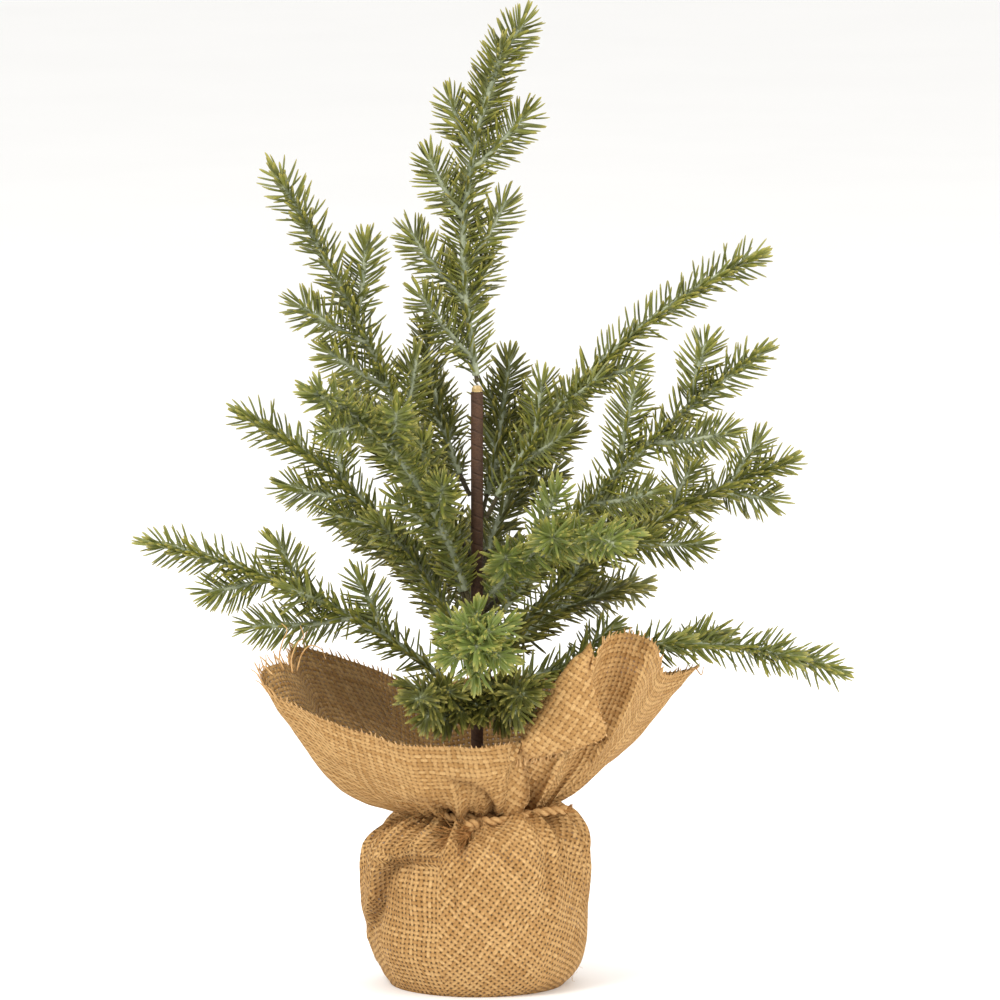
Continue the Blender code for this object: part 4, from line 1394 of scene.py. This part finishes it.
# %% Knot
knot_low, knot_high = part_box("twine_knot")
knot_middle = (knot_low + knot_high) / 2 + Vector((0.0025, -0.0026, -0.0040))
knot_half = (knot_high - knot_low) / 2
work = bmesh.new()
knot_path = []
for n in range(65):
    angle = 2 * pi * n / 64
    knot_path.append(knot_middle + Vector((
        (sin(angle) + 2 * sin(2 * angle)) / 3 * knot_half.x * 1.1,
        -sin(3 * angle) * knot_half.y * 0.50,
        (cos(angle) - 2 * cos(2 * angle)) / 3 * knot_half.z * 1.25)))
twine(work, knot_path, 0.0021)
STRANDS = (  # from the middle of the knot
    ((0, -0.0005, 0.0005), (-0.004, 0.0002, 0.0028), (-0.009, 0.0020, 0.0046),
     (-0.014, 0.0050, 0.0058)),
    ((0.001, -0.0012, -0.0014), (0.008, -0.0030, -0.0014), (0.015, -0.0024, -0.0008),
     (0.022, 0.0010, 0.0002), (0.027, 0.0055, 0.0016)),
)
for strand in STRANDS:
    twine(work, smooth_path([knot_middle + Vector(point) for point in strand], 6), 0.0017)
finished(work, "twine_knot_strands", "base", [twine_finish],
         stands_for=["twine_knot"])
print("knot: a closed trefoil of twine and", len(STRANDS), "strands")

# %% Tuft of the knot
draw = Random(33)
TUFTS = (  # start from the knot's middle, heading, fibres, their length, how far they spread
    ((-0.002, -0.003, -0.001), (-0.82, -0.45, -0.45), 150, 0.0165, 0.24),
    ((-0.002, -0.002, 0.001), (-0.90, -0.35, 0.05), 24, 0.009, 0.2),
)
work = bmesh.new()
for start, heading, fibres, length, spread in TUFTS:
    fray(work, knot_middle + Vector(start), heading, fibres, length, spread, draw)
finished(work, "twine_knot_tuft", "base", [tuft_finish])
print("fibres in the tuft:", sum(tuft[2] for tuft in TUFTS))

# %% [markdown]
# The free end is a cord of its own, with a real length. Its route is the frame's: out of the
# knot to the right, round the front of the bag's shoulder, and up a little at the end.

# %% Free end
TAIL_START = Vector((knot_low + knot_high) / 2) + Vector((0.0061, -0.0040, 0))
TAIL_ROUTE = (
    (0, 0, 0), (0.006, -0.0012, 0.0001), (0.013, 0.001, 0.0008), (0.021, 0.0052, 0.002),
    (0.029, 0.0088, 0.003), (0.038, 0.0118, 0.0034),
)
tail_path = [TAIL_START + point for point in smooth_path(TAIL_ROUTE, 4)]
tail_length = sum((b - a).length for a, b in zip(tail_path, tail_path[1:]))
work = bmesh.new()
twine(work, tail_path, TWINE / 2)
tail = finished(work, "twine_free_end", "base", [twine_finish],
                stands_for=["twine_tail"])
work = bmesh.new()
fray(work, tail_path[-1] - (tail_path[-1] - tail_path[-2]), tail_path[-1] - tail_path[-3],
     34, 0.0062, 0.22, draw)
tail_tuft = finished(work, "twine_free_end_tuft", "base", [tuft_finish])
tuple(tail_path[0])
[tuple(p) for p in tail_path]
print("twine's free end:", round(tail_length * 1000), "mm")

# %% [markdown]
# ## Finishes for the frame's own nodes
#
# The trunk, wires, pot, cement and rod already have their true shapes in the frame, so they keep
# their meshes and only get finishes. Each finish reads the node's own coordinates. The trunk and
# the wires are wound with crêpe tape: the angle round the trunk plus the height gives a slanting
# line, and its fraction says how far a point is from the edge of a lap.

# %% Trunk tape and wire tape
def tape_finish(name, light, dark, lap):
    """Crêpe tape wound up a round core: slanting laps with a crinkled surface."""
    made = Finish(name, 0.72)
    parts = made.node("ShaderNodeSeparateXYZ", {0: made.place()})
    x, y, z = (parts.outputs[axis] for axis in "XYZ")
    turn = made.calc("ARCTAN2", y, x)
    winding = made.calc("MULTIPLY_ADD", turn, 1 / (2 * pi), made.calc("MULTIPLY", z, 1 / lap))
    edge = made.ramp(made.calc("FRACT", winding), (0.0, 1.0), (0.12, 0.2), (0.9, 0.0), (1.0, 0.9))
    crinkle = made.noise(made.stretch(made.place(), (900, 900, 2600)), 1.0, 3.0, 0.6)
    worn = made.noise(made.place(), 90.0, 3.0)
    shade = made.calc("MULTIPLY_ADD", crinkle, 0.5, made.calc("MULTIPLY", worn, 0.6))
    colour = made.ramp(shade, (0.35, dark), (0.8, light))
    made.colour(made.mix(made.calc("MULTIPLY", edge, 0.6), colour, dark))
    made.bump(made.calc("MULTIPLY_ADD", edge, -0.8, crinkle), 0.8, 0.0006)
    return made


trunk_finish = tape_finish("brown_trunk_tape", paint(104, 70, 46), paint(52, 32, 20), 0.0065)
wire_finish = tape_finish("green_wire_tape", paint(92, 82, 50), paint(48, 40, 24), 0.0045)
print("finishes:", trunk_finish.material.name, "and", wire_finish.material.name)

# %% [markdown]
# The pot is dull black plastic with a film of dust, and the cement in it is cast and sandy. Both
# are hidden by the cloth, but the tree can be looked into from above.

# %% Pot and cement
pot_finish = Finish("black_plastic_pot", 0.55)
pot_grain = pot_finish.noise(pot_finish.place(), 700.0, 2.0)
pot_dust = pot_finish.noise(pot_finish.place(), 40.0, 4.0)
pot_finish.colour(pot_finish.ramp(pot_dust, (0.35, paint(24, 20, 17)), (0.75, paint(40, 33, 26))))
pot_finish.bump(pot_grain, 0.25, 0.0004)
pot_finish.shader.inputs["Specular IOR Level"].default_value = 0.2

cement_finish = Finish("cast_cement", 0.9)
cement_sand = cement_finish.noise(cement_finish.place(), 900.0, 4.0, 0.7)
cement_tone = cement_finish.noise(cement_finish.place(), 60.0, 4.0)
cement_mix = cement_finish.calc("MULTIPLY_ADD", cement_sand, 0.5, cement_tone)
cement_finish.colour(cement_finish.ramp(
    cement_mix, (0.5, paint(120, 116, 108)), (1.0, paint(186, 182, 172))))
cement_finish.bump(cement_sand, 0.7, 0.0008)
print("finishes:", pot_finish.material.name, "and", cement_finish.material.name)

# %% Steel rod and glue
steel_finish = Finish("drawn_steel", 0.35, 1.0)
steel_lines = steel_finish.noise(
    steel_finish.stretch(steel_finish.place(), (3000, 3000, 60)), 1.0, 2.0)
steel_finish.colour(steel_finish.ramp(
    steel_lines, (0.3, paint(150, 150, 152)), (0.7, paint(196, 196, 198))))
steel_finish.bump(steel_lines, 0.2, 0.0002)

glue_finish = Finish("hot_melt_glue", 0.28)
glue_cloud = glue_finish.noise(glue_finish.place(), 500.0, 3.0)
glue_finish.colour(glue_finish.ramp(
    glue_cloud, (0.3, paint(168, 138, 84)), (0.75, paint(202, 176, 122))))
glue_finish.bump(glue_cloud, 0.3, 0.0004)
print("finishes:", steel_finish.material.name, "and", glue_finish.material.name)

# %% Dress the frame's nodes
FINISH_OF_NODE = {
    "trunk_tape": trunk_finish, "pot": pot_finish, "base_weight": cement_finish,
    "trunk_rod": steel_finish, "tip_glue": glue_finish,
}
dressed = 0
for name, node in frame["nodes"].items():
    finish = FINISH_OF_NODE.get(name, wire_finish if name.endswith("_wire") else None)
    if finish is None:
        continue
    for material_slot in node.material_slots:
        material_slot.material = finish.material
    dressed += 1
print("frame nodes dressed:", dressed)
